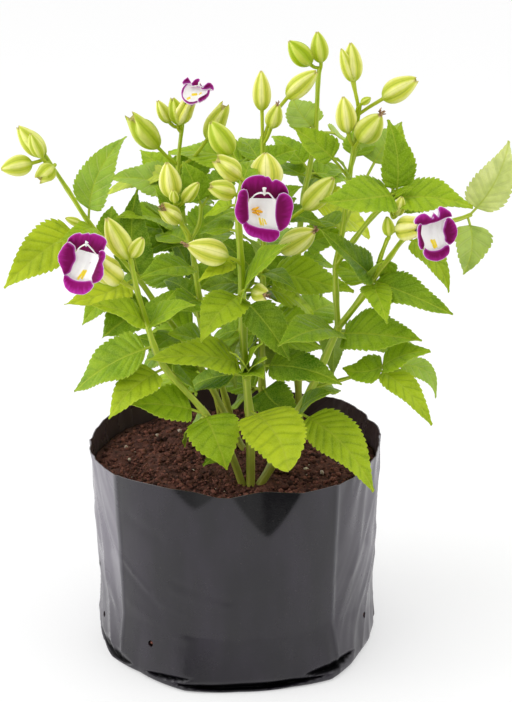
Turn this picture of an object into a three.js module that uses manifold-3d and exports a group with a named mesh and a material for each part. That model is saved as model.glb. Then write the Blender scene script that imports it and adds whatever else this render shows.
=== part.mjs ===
// A wishbone flower in bloom, growing in a black film grow bag. Millimetres, +Z up.
// The origin is the middle of the bag's flat underside. The photograph's viewer stands on the -Y side.
// Each leafy stem is one grown piece: its axes, leaves, flower stalks and calyces are fused.
import * as THREE from "three";
import Module from "manifold-3d";

const wasm = await Module();
wasm.setup();

// Driving dimensions of the bag and its soil
const BAG_RADIUS = 74.2;
const BAG_HEIGHT = 104;
const BAG_WALL = 0.9;
const RIM_WAVE = 1.4;
const SOIL_TOP = 92;
const SOIL_MOUND = 3;
const SOIL_LUMP = 1.1;
const ROOTED = 12;
const DRAIN_RADIUS = 1.4;
const GAP = 0.3;

// Driving dimensions of the plant
const BLADE_THICK = 0.9;
const BLADE_ARCH = 0.09;
const BLADE_FOLD = 0.16;
const BLADE_WIDEN = 1.16;
const TOOTH_PITCH = 8.5;
const TOOTH_BITE = 1;
const PETIOLE_WIDTH = 1.5;
const STAGGER = 1.6;
const STALK_RADIUS = 0.85;
const POD_RIBS = 5;
const POD_VALLEY = 0.8;
const PETAL_THICK = 0.9;
const WISHBONE_RADIUS = 0.45;

// The viewer of the photograph, which is 512 by 702 pixels: half a millimetre a pixel at the bag's axis
const EYE = new THREE.Vector3(9.75, -834, 441);
const PITCH = THREE.MathUtils.degToRad(19.2);
const FOCAL_PIXELS = 1766;
const PHOTO_CENTRE = [256, 351];

const vec = (x, y, z) => new THREE.Vector3(x, y, z);

// The point at a depth behind the bag's axis (negative is nearer the viewer) that shows at pixel (u, v)
function seen([u, v, depth]) {
  const right = (u - PHOTO_CENTRE[0]) / FOCAL_PIXELS;
  const up = (PHOTO_CENTRE[1] - v) / FOCAL_PIXELS;
  const ray = vec(
    right,
    Math.cos(PITCH) + up * Math.sin(PITCH),
    up * Math.cos(PITCH) - Math.sin(PITCH),
  );
  return ray.multiplyScalar((depth - EYE.y) / ray.y).add(EYE);
}

// The leafy stems. An axis is a path of joints [u, v, depth], thick at its foot and at its top.
// A leaf is [joint, tip u, tip v, tip depth, width, share of the way that is petiole, roll].
// A pod, the ribbed calyx, is [joint, base u, base v, base depth, tip u, tip v, tip depth, width].
const STEMS = [
  {
    name: "stem_centre",
    axes: [
      {
        thick: [4.4, 2.4],
        path: [
          [250.5, 489, -37],
          [250.5, 440, -37],
          [249, 410, -37],
          [245, 365, -37],
          [243, 330, -37],
          [242, 294, -37],
          [241, 262, -36],
          [239, 232, -35],
          [238, 205, -33],
          [243, 180, -29],
        ],
        leaves: [
          [2, 289.5, 471.6, -74, 30, 0.24, 0],
          [3, 148, 360, -60, 19, 0.08, 0],
          [3, 342, 384, -50, 20, 0.22, 0],
          [3, 262, 378, -54, 7, 0.1, 0],
          [4, 211, 342, -24, 11, 0.1, 0],
          [5, 200.5, 341, -64, 19, 0.08, 0],
          [5, 289.5, 361, -45, 17, 0.12, 0],
          [5, 291, 243, -62, 15, 0.08, 0],
          [6, 198.4, 281, -50, 8, 0.16, 0],
          [7, 200, 234, -14, 10, 0.16, 0],
          [8, 204, 218, -22, 9, 0.14, 0],
        ],
        pods: [
          [6, 228, 257, -44, 188, 245, -50, 13],
          [5, 252, 290, -47, 264, 297, -51, 6],
          [9, 240, 178, -32, 214, 158, -36, 11],
          [8, 235, 194, -36, 208, 186, -42, 10],
          [9, 265.5, 190, -16, 265.5, 152, -12, 17],
          [9, 232, 154, -17, 210, 121, -17, 12.5],
        ],
      },
    ],
  },
  {
    name: "stem_left",
    axes: [
      {
        thick: [3.8, 2],
        path: [
          [240, 488, -36],
          [227, 450, -38],
          [204, 412, -42],
          [165, 368, -48],
          [154, 346, -50],
          [147, 324, -51],
          [137, 290, -52],
          [131, 262, -52],
        ],
        leaves: [
          [2, 227, 470, -58, 22, 0.08, 0],
          [2, 128, 405, -54, 19, 0.2, 0],
          [2, 189, 446, -22, 12, 0.15, 0],
          [3, 108.6, 419, -66, 17, 0.12, 0],
          [4, 74.3, 392, -44, 22, 0.1, 0],
          [5, 92, 305, -64, 14, 0.06, 0],
          [5, 195, 305, -66, 14, 0.06, 0],
        ],
        pods: [
          [7, 129, 259, -52, 106, 217, -54, 11.5],
          [7, 131, 257, -54, 143, 237, -56, 7.5],
        ],
      },
    ],
  },
  {
    name: "stem_right",
    axes: [
      {
        thick: [4.2, 3],
        path: [
          [261, 488, -36],
          [275, 463, -34],
          [298, 412, -28],
          [312, 388, -26],
          [325, 358, -24],
          [338, 328, -22],
        ],
        leaves: [
          [2, 373.7, 491.4, -58, 20, 0.1, 0],
          [2, 324, 402, -44, 8, 0.2, 0],
          [3, 334, 392, -4, 15, 0.1, 0],
          [4, 344, 376, 4, 13, 0.12, 0],
          [5, 278, 346.5, -62, 19, 0.1, 0],
          [5, 421, 340, -44, 20, 0.1, 0],
          [5, 424, 354, 4, 19, 0.1, 0],
        ],
        pods: [],
      },
      {
        thick: [1.8, 1.4],
        path: [
          [312, 388, -26],
          [341, 380, -28],
          [365, 373, -32],
          [383, 367, -36],
        ],
        leaves: [
          [3, 342.5, 368, -58, 13, 0.06, 0],
          [3, 430, 351, -44, 13, 0.06, 0],
          [3, 431.8, 425.7, -58, 15, 0.1, 0],
          [3, 436, 397.5, -16, 8, 0.3, 0],
        ],
        pods: [],
      },
      {
        thick: [3, 1.8],
        path: [
          [338, 328, -22],
          [336, 294, -18],
          [336, 265, -14],
          [342.5, 230, -10],
          [349.4, 176, -5],
          [354, 147, -3],
          [359, 108, -2],
        ],
        leaves: [
          [4, 368, 124, 22, 13, 0.3, 0],
          [4, 293, 128, -2, 16, 0.34, 0],
          [4, 334, 158, -18, 9, 0.1, 0],
          [3, 312, 222, 16, 15, 0.15, 0],
        ],
        pods: [
          [5, 348, 133, -6, 343, 96, -8, 10.5],
          [5, 359, 143, -6, 382.5, 117, -10, 12.4],
          [6, 353, 82, -2, 349.6, 42, -2, 10],
          [6, 352.5, 82, -4, 341, 48, -4, 6.5],
          [6, 382.5, 97, -3, 418, 77, -5, 12],
          [6, 361, 104, -4, 371, 97.5, -6, 4],
        ],
      },
      {
        thick: [2.6, 1.6],
        path: [
          [336, 265, -14],
          [354, 240, -16],
          [373, 216, -20],
          [388, 204, -24],
          [398, 194, -26],
        ],
        leaves: [
          [4, 319, 203, -44, 17, 0.14, 0],
          [4, 388, 119.5, -20, 16, 0.08, 0],
          [4, 473, 207, -38, 17, 0.1, 0],
          [4, 404, 122, 4, 11, 0.12, 0],
        ],
        pods: [
          [4, 393, 214, -34, 401, 196, -36, 6],
          [4, 400, 192, -30, 410, 185, -34, 4.5],
          [4, 396, 192, -30, 386, 186, -34, 4],
        ],
      },
      {
        thick: [3, 1.7],
        path: [
          [338, 328, -22],
          [362, 297, -26],
          [374, 278, -28],
          [390, 257, -24],
          [406, 237, -18],
          [430, 226, -8],
          [457, 219.6, 0],
          [470, 215, 4],
        ],
        leaves: [
          [2, 319, 228, -40, 17, 0.08, 0],
          [2, 453, 314.7, -48, 16, 0.06, 0],
          [2, 387, 324, -60, 12, 0.08, 0],
          [2, 334, 264, -8, 14, 0.1, 0],
          [2, 384, 262, -48, 6, 0.1, 0],
          [4, 447.3, 292.7, -24, 13, 0.08, 0],
          [7, 509, 140.7, 10, 21, 0.08, 0],
          [7, 462, 274.7, -2, 17, 0.16, 0],
        ],
        pods: [],
      },
      {
        thick: [2, 1.5],
        path: [
          [374, 278, -28],
          [381, 256, -36],
          [387, 240, -40],
        ],
        leaves: [],
        pods: [[2, 388, 237, -42, 386, 220, -44, 4.5]],
      },
    ],
  },
  {
    name: "stem_far_left",
    axes: [
      {
        thick: [3.6, 1.8],
        path: [
          [247, 455, 6],
          [234, 432, 8],
          [205, 375, 8],
          [180, 335, 6],
          [157, 305, 4],
          [137, 277, 2],
          [110, 245, 0],
          [88, 222, -2],
          [66, 190, -2],
          [46.5, 158, -2],
        ],
        leaves: [
          [2, 186, 394, -14, 19, 0.1, 0],
          [3, 152, 352, -18, 12, 0.12, 0],
          [4, 104, 340, -18, 20, 0.12, 0],
          [5, 64, 303.6, -24, 14, 0.3, 0],
          [5, 83.6, 326, -4, 12, 0.25, 0],
          [6, 112, 206, 12, 11, 0.12, 0],
          [7, 126.5, 136, 8, 19, 0.16, 0],
          [7, 4, 288, -24, 18, 0.26, 0],
          [7, 62, 240, -30, 11, 0.1, 0],
        ],
        pods: [
          [7, 82, 225, -6, 65, 218, -10, 4.5],
          [9, 32.6, 161.6, -5, 1, 168, -9, 10],
          [9, 43, 156, -1, 16, 126.5, -1, 11],
          [9, 42, 158, -6, 30, 133, -9, 7],
          [9, 53, 168, -6, 37, 180, -10, 7],
        ],
      },
    ],
  },
  {
    name: "stem_back_left",
    axes: [
      {
        thick: [3.4, 1.6],
        path: [
          [224, 432, 37],
          [215, 390, 36],
          [202, 330, 34],
          [193, 285, 33],
          [186, 235, 31],
          [180, 190, 29],
          [178, 165, 28],
          [182, 127, 26],
        ],
        leaves: [
          [1, 150, 380, 60, 18, 0.15, 0],
          [2, 150, 332, 40, 22, 0.15, 0],
          [2, 236, 318, 78, 22, 0.15, 0],
          [3, 128, 268, 52, 21, 0.15, 0],
          [4, 137, 189, 16, 13, 0.14, 0],
          [4, 120, 217, -2, 16, 0.18, 0],
          [4, 143, 256, 2, 15, 0.16, 0],
          [4, 238, 210, 60, 20, 0.16, 0],
          [5, 112, 176, 28, 12, 0.2, 0],
          [5, 140, 150, 48, 15, 0.2, 0],
          [5, 212, 143, 50, 15, 0.2, 0],
        ],
        pods: [
          [6, 157, 147, 22, 130, 114, 18, 12.5],
          [6, 205, 139, 26, 224, 102, 24, 10.5],
          [7, 170, 123, 24, 157, 100, 22, 7],
          [7, 181, 125, 24, 172, 97, 20, 9],
        ],
      },
    ],
  },
  {
    name: "stem_mid_left",
    axes: [
      {
        thick: [3.4, 2],
        path: [
          [240, 446, 18],
          [226, 400, 14],
          [212, 350, 6],
          [200, 300, -4],
          [195, 268, -8],
          [190, 242, -10],
          [181, 222, -12],
          [176, 204, -13],
        ],
        leaves: [
          [2, 168, 334, -12, 17, 0.12, 0],
          [3, 170, 314, -22, 17, 0.1, 0],
          [4, 140, 278, -34, 15, 0.1, 0],
          [6, 155, 186, -6, 11, 0.12, 0],
        ],
        pods: [
          [7, 173, 198, -14, 166.5, 161.6, -16, 11.5],
          [7, 183, 202, -16, 199, 182, -20, 7],
          [7, 175, 202, -18, 173, 190, -23, 5],
          [7, 175, 208, -18, 160, 223, -26, 9],
        ],
      },
      {
        thick: [2, 1.6],
        path: [
          [190, 242, -10],
          [199, 224, -9],
          [201, 206, -6],
        ],
        leaves: [
          [2, 183, 161, -2, 14, 0.1, 0],
          [2, 247, 158, 12, 13, 0.16, 0],
        ],
        pods: [],
      },
    ],
  },
  {
    name: "stem_back",
    axes: [
      {
        thick: [3.8, 1.9],
        path: [
          [264, 438, 29],
          [262, 385, 26],
          [262, 330, 22],
          [263, 270, 18],
          [264, 215, 14],
          [263, 165, 12],
          [262.5, 139, 10],
        ],
        leaves: [
          [1, 300, 412, 4, 22, 0.12, 0],
          [1, 232, 410, 44, 18, 0.15, 0],
          [2, 316, 322, 2, 19, 0.12, 0],
          [2, 216, 346, 26, 21, 0.12, 0],
          [3, 353.5, 292, 8, 19, 0.12, 0],
          [3, 296, 290, -14, 9, 0.12, 0],
          [3, 214, 268, 26, 20, 0.12, 0],
          [4, 325, 226, -10, 13, 0.16, 0],
          [4, 304, 186, 4, 13, 0.14, 0],
          [5, 297, 150, 16, 13, 0.14, 0],
          [5, 240, 138, 44, 12, 0.16, 0],
        ],
        pods: [
          [6, 261, 111, 10, 259.6, 70.5, 10, 8.8],
          [6, 287, 97, 8, 317, 70.5, 4, 10],
          [6, 270, 128, 6, 276, 104.5, 2, 7],
          [4, 304, 209, -10, 334, 177, -16, 12],
          [3, 281, 250, -8, 315.6, 230.6, -24, 13],
        ],
      },
    ],
  },
  {
    name: "stem_top",
    axes: [
      {
        thick: [3.8, 1.6],
        path: [
          [300, 432, 38],
          [298, 380, 37],
          [296, 320, 35],
          [298, 250, 31],
          [304, 195, 28],
          [309, 171, 27],
          [315.6, 130.6, 25],
          [318, 82, 23],
          [319.7, 68, 22],
        ],
        leaves: [
          [1, 350, 388, 62, 19, 0.14, 0],
          [2, 254, 332, 66, 23, 0.14, 0],
          [2, 338, 304, 60, 22, 0.14, 0],
          [3, 346, 232, 34, 17, 0.14, 0],
          [3, 262, 236, 68, 21, 0.14, 0],
          [4, 330, 172, 72, 14, 0.14, 0],
          [5, 272, 136, 50, 12, 0.14, 0],
          [6, 292, 97, 36, 17, 0.1, 0],
          [6, 342, 124, 42, 12, 0.14, 0],
        ],
        pods: [
          [8, 310, 65, 21, 287, 40, 19, 11.6],
          [8, 320, 63, 21, 316.5, 32, 20, 8.5],
        ],
      },
    ],
  },
];

// The blooms. The stalk leaves an axis of a stem at a joint and ends at the calyx's base.
// The throat is [u, v, depth]. In degrees, turn is to the viewer's right, lift is upwards, roll is clockwise.
const BLOOMS = [
  {
    name: "bloom_left",
    from: ["stem_left", 0, 6],
    base: [122.5, 279, -50],
    throat: [84.5, 251.5, -66],
    turn: -20,
    lift: 6,
    roll: 2,
    width: 24.4,
  },
  {
    name: "bloom_centre",
    from: ["stem_centre", 0, 8],
    base: [247, 203, -32],
    throat: [263.5, 196.5, -52],
    turn: 2,
    lift: 4,
    roll: 0,
    width: 27.2,
  },
  {
    name: "bloom_right",
    from: ["stem_right", 5, 2],
    base: [396, 230, -40],
    throat: [434.3, 225, -54],
    turn: 20,
    lift: 2,
    roll: -4,
    width: 22.4,
  },
  {
    name: "bloom_top",
    from: ["stem_back_left", 0, 7],
    base: [187, 119, 24],
    throat: [195.5, 85.5, 12],
    turn: 12,
    lift: 62,
    roll: -4,
    width: 17,
  },
];

// One closed solid from points and triangles that may face in or out, all alike
function closedSolid(points, faces) {
  const vertProperties = Float32Array.from(points.flatMap((p) => [p.x, p.y, p.z]));
  const build = (list) =>
    new wasm.Manifold(
      new wasm.Mesh({
        numProp: 3,
        vertProperties,
        triVerts: Uint32Array.from(list.flat()),
      }),
    );
  const made = build(faces);
  return made.volume() < 0 ? build(faces.map(([a, b, c]) => [a, c, b])) : made;
}

// The triangles between two rings that start at the same angle and may differ in their count of points
function skinBetween(startA, countA, startB, countB) {
  const faces = [];
  let i = 0;
  let j = 0;
  while (i < countA || j < countB) {
    const [a, b] = [startA + (i % countA), startB + (j % countB)];
    const advanceA = j === countB || (i < countA && (i + 1) * countB <= (j + 1) * countA);
    if (advanceA) i++;
    else j++;
    faces.push(advanceA ? [a, startA + (i % countA), b] : [a, startB + (j % countB), b]);
  }
  return faces.filter(([a, b, c]) => a !== b && b !== c && c !== a);
}

// A closed skin over rings of points; a first or last ring may be one point
function loft(rings) {
  const starts = [];
  const points = [];
  for (const ring of rings) {
    starts.push(points.length);
    points.push(...ring);
  }
  const faces = [];
  for (let k = 1; k < rings.length; k++) {
    faces.push(...skinBetween(starts[k - 1], rings[k - 1].length, starts[k], rings[k].length));
  }
  for (let i = 1; i < rings[0].length - 1; i++) faces.push([0, i + 1, i]);
  for (let i = 1; i < rings.at(-1).length - 1; i++) {
    faces.push([starts.at(-1), starts.at(-1) + i, starts.at(-1) + i + 1]);
  }
  return closedSolid(points, faces);
}

// A ring of points round a centre, across a direction, with a radius for each corner
function ringAcross(centre, along, reference, radii) {
  const u = reference.clone().addScaledVector(along, -reference.dot(along)).normalize();
  const v = along.clone().cross(u);
  return radii.map((radius, i) => {
    const angle = (2 * Math.PI * i) / radii.length;
    return centre
      .clone()
      .addScaledVector(u, radius * Math.cos(angle))
      .addScaledVector(v, radius * Math.sin(angle));
  });
}

// A direction that a tube along the path never runs along
function sidewaysOf(path) {
  const along = path.at(-1).clone().sub(path[0]).normalize();
  return Math.abs(along.z) > 0.7 ? vec(1, 0.35, 0).normalize() : vec(0, 0, 1);
}

// A tapering tube with flat ends along a path of points
function tube(path, radiusAt, sides) {
  const reference = sidewaysOf(path);
  const rings = path.map((point, k) => {
    const before = path[Math.max(k - 1, 0)];
    const after = path[Math.min(k + 1, path.length - 1)];
    const along = after.clone().sub(before).normalize();
    const radius = radiusAt(k / (path.length - 1));
    return ringAcross(point, along, reference, Array(sides).fill(radius));
  });
  return loft(rings);
}

const between = (from, to, share) => from + (to - from) * share;

// The half width of a leaf along its length, 1 at its widest, a third of the way up
function ovate(s) {
  return 2.49 * Math.sqrt(s) * (1 - s) ** 0.9;
}

// The upper face of a leaf looks up and somewhat towards the light in front
const LEAF_FACE = vec(0, -0.5, 0.87).normalize();

// The leaf's own directions: along its midrib, across to its left, and out of its upper face
function leafAxes(base, tip, roll) {
  const along = tip.clone().sub(base).normalize();
  const face = LEAF_FACE.clone().addScaledVector(along, -LEAF_FACE.dot(along));
  face.normalize().applyAxisAngle(along, THREE.MathUtils.degToRad(roll));
  return { along, face, across: face.clone().cross(along) };
}

// The triangles between two chains of spots that run out from the stem and meet at the tip
function zip(rib, edge) {
  const faces = [];
  let i = 0;
  let j = 0;
  while (i < rib.length - 1 || j < edge.length - 1) {
    const edgeNext = i === rib.length - 1 || (j < edge.length - 1 && edge[j + 1].s < rib[i + 1].s);
    faces.push([rib[i], edge[j], edgeNext ? edge[j + 1] : rib[i + 1]]);
    if (edgeNext) j++;
    else i++;
  }
  return faces.filter(([a, b, c]) => a !== b && b !== c && c !== a);
}

// Where something that grows towards a point starts, just under the skin of the axis that bears it
function rooted({ joint, radius }, towards) {
  const way = towards.clone().sub(joint).normalize();
  return joint.clone().addScaledVector(way, 0.4 * radius);
}

// A thin arched leaf with its petiole and a toothed edge. It is folded along its midrib and seen at a slant,
// so it is made wider than the width that shows.
function leaf(foot, [, u, v, depth, width, share, roll]) {
  const tip = seen([u, v, depth]);
  const start = rooted(foot, tip);
  const { along, face, across } = leafAxes(start, tip, roll);
  const length = tip.distanceTo(start);
  const bladeLength = length * (1 - share);
  const teeth = THREE.MathUtils.clamp(Math.round(bladeLength / TOOTH_PITCH), 3, 5);
  const bite = Math.min(TOOTH_BITE, width / 12);
  const points = [];
  const spot = (s, side, half) => {
    const rise = BLADE_ARCH * length * 4 * s * (1 - s) + BLADE_FOLD * half;
    const point = start
      .clone()
      .addScaledVector(along, length * s)
      .addScaledVector(across, side * half)
      .addScaledVector(face, rise);
    return { s, index: points.push(point) - 1 };
  };
  const bladeSpot = (t, side, out) => {
    const half = side ? (BLADE_WIDEN * width * ovate(t)) / 2 + out : 0;
    return spot(share + (1 - share) * t, side, half);
  };
  const rib = [spot(share, 0, 0), bladeSpot(0.33, 0, 0), bladeSpot(0.67, 0, 0), spot(1, 0, 0)];
  const edgeOf = (side) => {
    const edge = [spot(share, side, PETIOLE_WIDTH / 2)];
    for (let tooth = 0; tooth < teeth; tooth++) {
      edge.push(bladeSpot((tooth + 0.72) / teeth, side, bite));
      if (tooth < teeth - 1) edge.push(bladeSpot((tooth + 1) / teeth, side, -bite / 2));
    }
    return [...edge, rib.at(-1)];
  };
  const right = edgeOf(-1);
  const left = edgeOf(1);
  const [footRight, footLeft] = [-1, 1].map((side) => spot(0, side, PETIOLE_WIDTH / 2));
  const petiole = [
    [footRight, right[0], rib[0]],
    [footRight, rib[0], footLeft],
    [footLeft, rib[0], left[0]],
  ];
  const upper = [
    ...petiole,
    ...zip(rib, right),
    ...zip(rib, left).map(([a, b, c]) => [a, c, b]),
  ];
  const outline = [footRight, ...right, ...left.slice(0, -1).reverse(), footLeft];
  return slab(points, face, BLADE_THICK, upper, outline);
}

// A closed sheet of an even thickness, with the same triangles on both of its faces
function slab(points, face, thickness, upper, outline) {
  const count = points.length;
  const faces = [];
  for (const [a, b, c] of upper) {
    faces.push([a.index, b.index, c.index]);
    faces.push([a.index + count, c.index + count, b.index + count]);
  }
  outline.forEach((p, k) => {
    const q = outline[(k + 1) % outline.length];
    faces.push([p.index + count, q.index + count, q.index]);
    faces.push([p.index + count, q.index, p.index]);
  });
  const shifted = (sign) => points.map((p) => p.clone().addScaledVector(face, (sign * thickness) / 2));
  return closedSolid([...shifted(1), ...shifted(-1)], faces);
}

// The ribbed calyx: its radius along its length, with five ribs and five valleys
const POD_PROFILE = [
  [0.1, 0.64],
  [0.4, 1.1],
  [0.8, 0.64],
];

// The rings of a calyx with its ribs and valleys
function calyxRings(base, tip, width, profile) {
  const along = tip.clone().sub(base);
  const corners = 2 * (width > 10 ? POD_RIBS : 3);
  return profile.map(([s, share]) => {
    const radii = Array.from({ length: corners }, (_, i) => {
      return (width / 2) * share * (i % 2 ? POD_VALLEY : 1);
    });
    const centre = base.clone().addScaledVector(along, s);
    return ringAcross(centre, along.clone().normalize(), sidewaysOf([base, tip]), radii);
  });
}

// The rings of a flower stalk that bows from the axis to the base of what it bears
function stalkRings(foot, base, towards) {
  const start = rooted(foot, base);
  const out = towards.clone().sub(base).normalize();
  const bend = base.clone().addScaledVector(out, -0.35 * base.distanceTo(start)).lerp(start, 0.3);
  const path = [start, bend, base];
  return path.map((point, k) => {
    const along = path[Math.min(k + 1, 2)].clone().sub(path[Math.max(k - 1, 0)]).normalize();
    return ringAcross(point, along, sidewaysOf([base, towards]), Array(3).fill(STALK_RADIUS));
  });
}

function pod(foot, [, baseU, baseV, baseDepth, tipU, tipV, tipDepth, width]) {
  const base = seen([baseU, baseV, baseDepth]);
  const tip = seen([tipU, tipV, tipDepth]);
  return loft([...stalkRings(foot, base, tip), ...calyxRings(base, tip, width, POD_PROFILE), [tip]]);
}

// A bloom's directions: out of its face, up towards its upper lip, and across to its right
function bloomAxes({ turn, lift, roll }) {
  const [a, e, r] = [turn, lift, roll].map(THREE.MathUtils.degToRad);
  const out = vec(Math.sin(a) * Math.cos(e), -Math.cos(a) * Math.cos(e), Math.sin(e));
  const level = vec(Math.cos(a), Math.sin(a), 0);
  const upright = level.clone().cross(out).negate();
  const up = upright.clone().multiplyScalar(Math.cos(r)).addScaledVector(level, Math.sin(r));
  const right = level.clone().multiplyScalar(Math.cos(r)).addScaledVector(upright, -Math.sin(r));
  return { out, up, right };
}

// The sheets of a bloom, in bloom widths [across, up, out of its face] from the middle of its throat.
// Each sheet spans from its inner edge to its outer edge. The side lobes lie over the upper lobe.
const SHEETS = [
  {
    name: "upper lobe",
    inner: [
      [-0.26, -0.06, -0.13],
      [0, 0.03, -0.15],
      [0.24, -0.08, -0.13],
    ],
    outer: [
      [-0.4, 0, -0.06],
      [-0.36, 0.22, -0.07],
      [-0.24, 0.33, -0.08],
      [-0.07, 0.365, -0.09],
      [0.1, 0.31, -0.09],
      [0.14, 0.25, -0.07],
      [0.24, 0.3, -0.09],
      [0.38, 0.18, -0.08],
      [0.44, 0, -0.06],
    ],
    bulge: 0.02,
  },
  {
    name: "left lobe",
    inner: [
      [-0.33, 0.12, 0.01],
      [-0.26, -0.02, -0.03],
      [-0.24, -0.2, -0.04],
      [-0.23, -0.36, -0.04],
      [-0.27, -0.43, -0.02],
    ],
    outer: [
      [-0.38, 0.12, 0.03],
      [-0.43, 0.01, 0.05],
      [-0.44, -0.12, 0.05],
      [-0.49, -0.25, 0.04],
      [-0.47, -0.36, 0.03],
      [-0.38, -0.46, 0.01],
    ],
    bulge: 0.03,
  },
  {
    name: "right lobe",
    inner: [
      [0.29, 0.01, 0.01],
      [0.23, -0.15, -0.03],
      [0.2, -0.3, -0.04],
      [0.2, -0.44, -0.04],
      [0.25, -0.56, -0.02],
    ],
    outer: [
      [0.34, 0.055, 0.03],
      [0.42, 0.04, 0.04],
      [0.49, -0.08, 0.05],
      [0.505, -0.21, 0.05],
      [0.47, -0.36, 0.04],
      [0.42, -0.5, 0.03],
      [0.33, -0.58, 0.01],
    ],
    bulge: 0.03,
  },
  {
    name: "lower lobe",
    inner: [
      [-0.33, -0.44, 0.01],
      [-0.2, -0.48, -0.01],
      [-0.05, -0.5, 0],
      [0.12, -0.54, -0.01],
      [0.26, -0.56, 0.01],
    ],
    outer: [
      [-0.34, -0.55, 0.03],
      [-0.27, -0.67, 0.02],
      [-0.1, -0.72, 0],
      [0.06, -0.775, 0],
      [0.2, -0.765, 0],
      [0.27, -0.68, 0.02],
      [0.28, -0.6, 0.03],
    ],
    bulge: 0.05,
  },
  {
    name: "white floor of the throat",
    inner: [
      [-0.24, 0, -0.12],
      [-0.08, -0.01, -0.16],
      [0.07, -0.02, -0.16],
      [0.21, -0.05, -0.12],
    ],
    outer: [
      [-0.24, -0.5, -0.01],
      [-0.08, -0.53, -0.03],
      [0.07, -0.55, -0.03],
      [0.22, -0.58, -0.01],
    ],
    bulge: 0,
  },
];

// The point of the bloom's own frame in millimetres
function bloomPoint(axes, throat, width, [across, up, out]) {
  return throat
    .clone()
    .addScaledVector(axes.right, across * width)
    .addScaledVector(axes.up, up * width)
    .addScaledVector(axes.out, out * width);
}

// The point at a share of the way along a list of points
function alongPoints(list, share) {
  const at = share * (list.length - 1);
  const k = Math.min(Math.floor(at), list.length - 2);
  return list[k].map((value, i) => between(value, list[k + 1][i], at - k));
}

// One sheet of the bloom as a closed solid: its inner edge, its bulging middle and its outer edge
function petal(axes, throat, width, { inner, outer, bulge }) {
  const columns = outer.length;
  const points = [];
  const rows = bulge ? [0, 0.55, 1] : [0, 1];
  rows.forEach((t) => {
    outer.forEach((edge, k) => {
      const from = alongPoints(inner, k / (columns - 1));
      const [x, y, z] = from.map((value, i) => between(value, edge[i], t));
      points.push(bloomPoint(axes, throat, width, [x, y, z + bulge * 4 * t * (1 - t)]));
    });
  });
  const spot = (row, column) => ({ index: row * columns + column });
  const faces = [];
  const last = rows.length - 1;
  for (let row = 0; row < last; row++) {
    for (let k = 0; k < columns - 1; k++) {
      faces.push([spot(row, k), spot(row, k + 1), spot(row + 1, k + 1)]);
      faces.push([spot(row, k), spot(row + 1, k + 1), spot(row + 1, k)]);
    }
  }
  const lastRow = Array.from({ length: columns }, (_, k) => spot(last, k));
  const firstRow = Array.from({ length: columns }, (_, k) => spot(0, k));
  const sides = bulge ? [[spot(1, columns - 1)], [spot(1, 0)]] : [[], []];
  const outline = [...firstRow, ...sides[0], ...lastRow.reverse(), ...sides[1]];
  return slab(points, axes.out, PETAL_THICK, faces, outline);
}

// The tube behind the limb, into the calyx; grown is the clearance for the calyx's mouth
function corollaTube(bloom, grown = 0) {
  const axes = bloomAxes(bloom);
  const throat = seen(bloom.throat);
  const foot = seen(bloom.base).lerp(throat, 0.36);
  const mouth = bloomPoint(axes, throat, bloom.width, [-0.01, -0.08, -0.14]);
  const bend = foot.clone().lerp(mouth, 0.6).addScaledVector(axes.out, -0.1 * bloom.width);
  const lead = bend.clone().sub(foot).normalize();
  const ring = (centre, along, radius) =>
    ringAcross(centre, along, axes.up, Array(7).fill(radius + grown));
  return loft([
    ring(foot.addScaledVector(lead, -grown), lead, 1.6),
    ring(bend, lead.clone().lerp(axes.out, 0.5).normalize(), 0.1 * bloom.width),
    ring(mouth, axes.out, 0.19 * bloom.width),
  ]);
}

function corolla(bloom) {
  const axes = bloomAxes(bloom);
  const throat = seen(bloom.throat);
  const petals = SHEETS.map((sheet) => petal(axes, throat, bloom.width, sheet));
  return oneBody(wasm.Manifold.union([...petals, corollaTube(bloom)]));
}

// The two joined stamens arch up from the inner edges of the side lobes to a pair of anthers
const STAMEN_FEET = [
  [-0.26, -0.02, -0.03],
  [0.28, -0.02, -0.01],
];
const STAMEN_ARCH = [
  [0.15, 0.05, 0.04],
  [0.01, 0.09, 0.05],
];
const ANTHERS = [
  [0, 0.01, 0.05],
  [0, 0.18, 0.05],
];

function wishbone(bloom) {
  const axes = bloomAxes(bloom);
  const throat = seen(bloom.throat);
  const place = (point) => bloomPoint(axes, throat, bloom.width, point);
  const arms = STAMEN_FEET.map((seat) => {
    const side = Math.sign(seat[0]);
    const foot = place(seat).addScaledVector(axes.right, -side * (GAP + 0.2));
    const arch = STAMEN_ARCH.map(([across, up, out]) => place([side * across, up, out]));
    return tube([foot, ...arch], () => WISHBONE_RADIUS, 3);
  });
  const [low, high] = ANTHERS.map(place);
  const anthers = loft([[low], ...calyxRings(low, high, 0.08 * bloom.width, POD_PROFILE), [high]]);
  return wasm.Manifold.union([...arms, anthers]);
}

// The calyx round the foot of a bloom's tube
const CUP_PROFILE = [
  [0.1, 0.6],
  [0.34, 1],
  [0.66, 0.62],
];

function bloomStem(bloom, foot) {
  const base = seen(bloom.base);
  const throat = seen(bloom.throat);
  const cup = calyxRings(base, throat, bloom.width * 0.4, CUP_PROFILE);
  return loft([...stalkRings(foot, base, throat), ...cup]);
}

// Keeps the one outer body: hollows sealed by fusing are filled and loose scraps are dropped
function oneBody(solid) {
  const bodies = solid.decompose();
  return bodies.reduce((best, body) => (body.volume() > best.volume() ? body : best));
}

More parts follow.
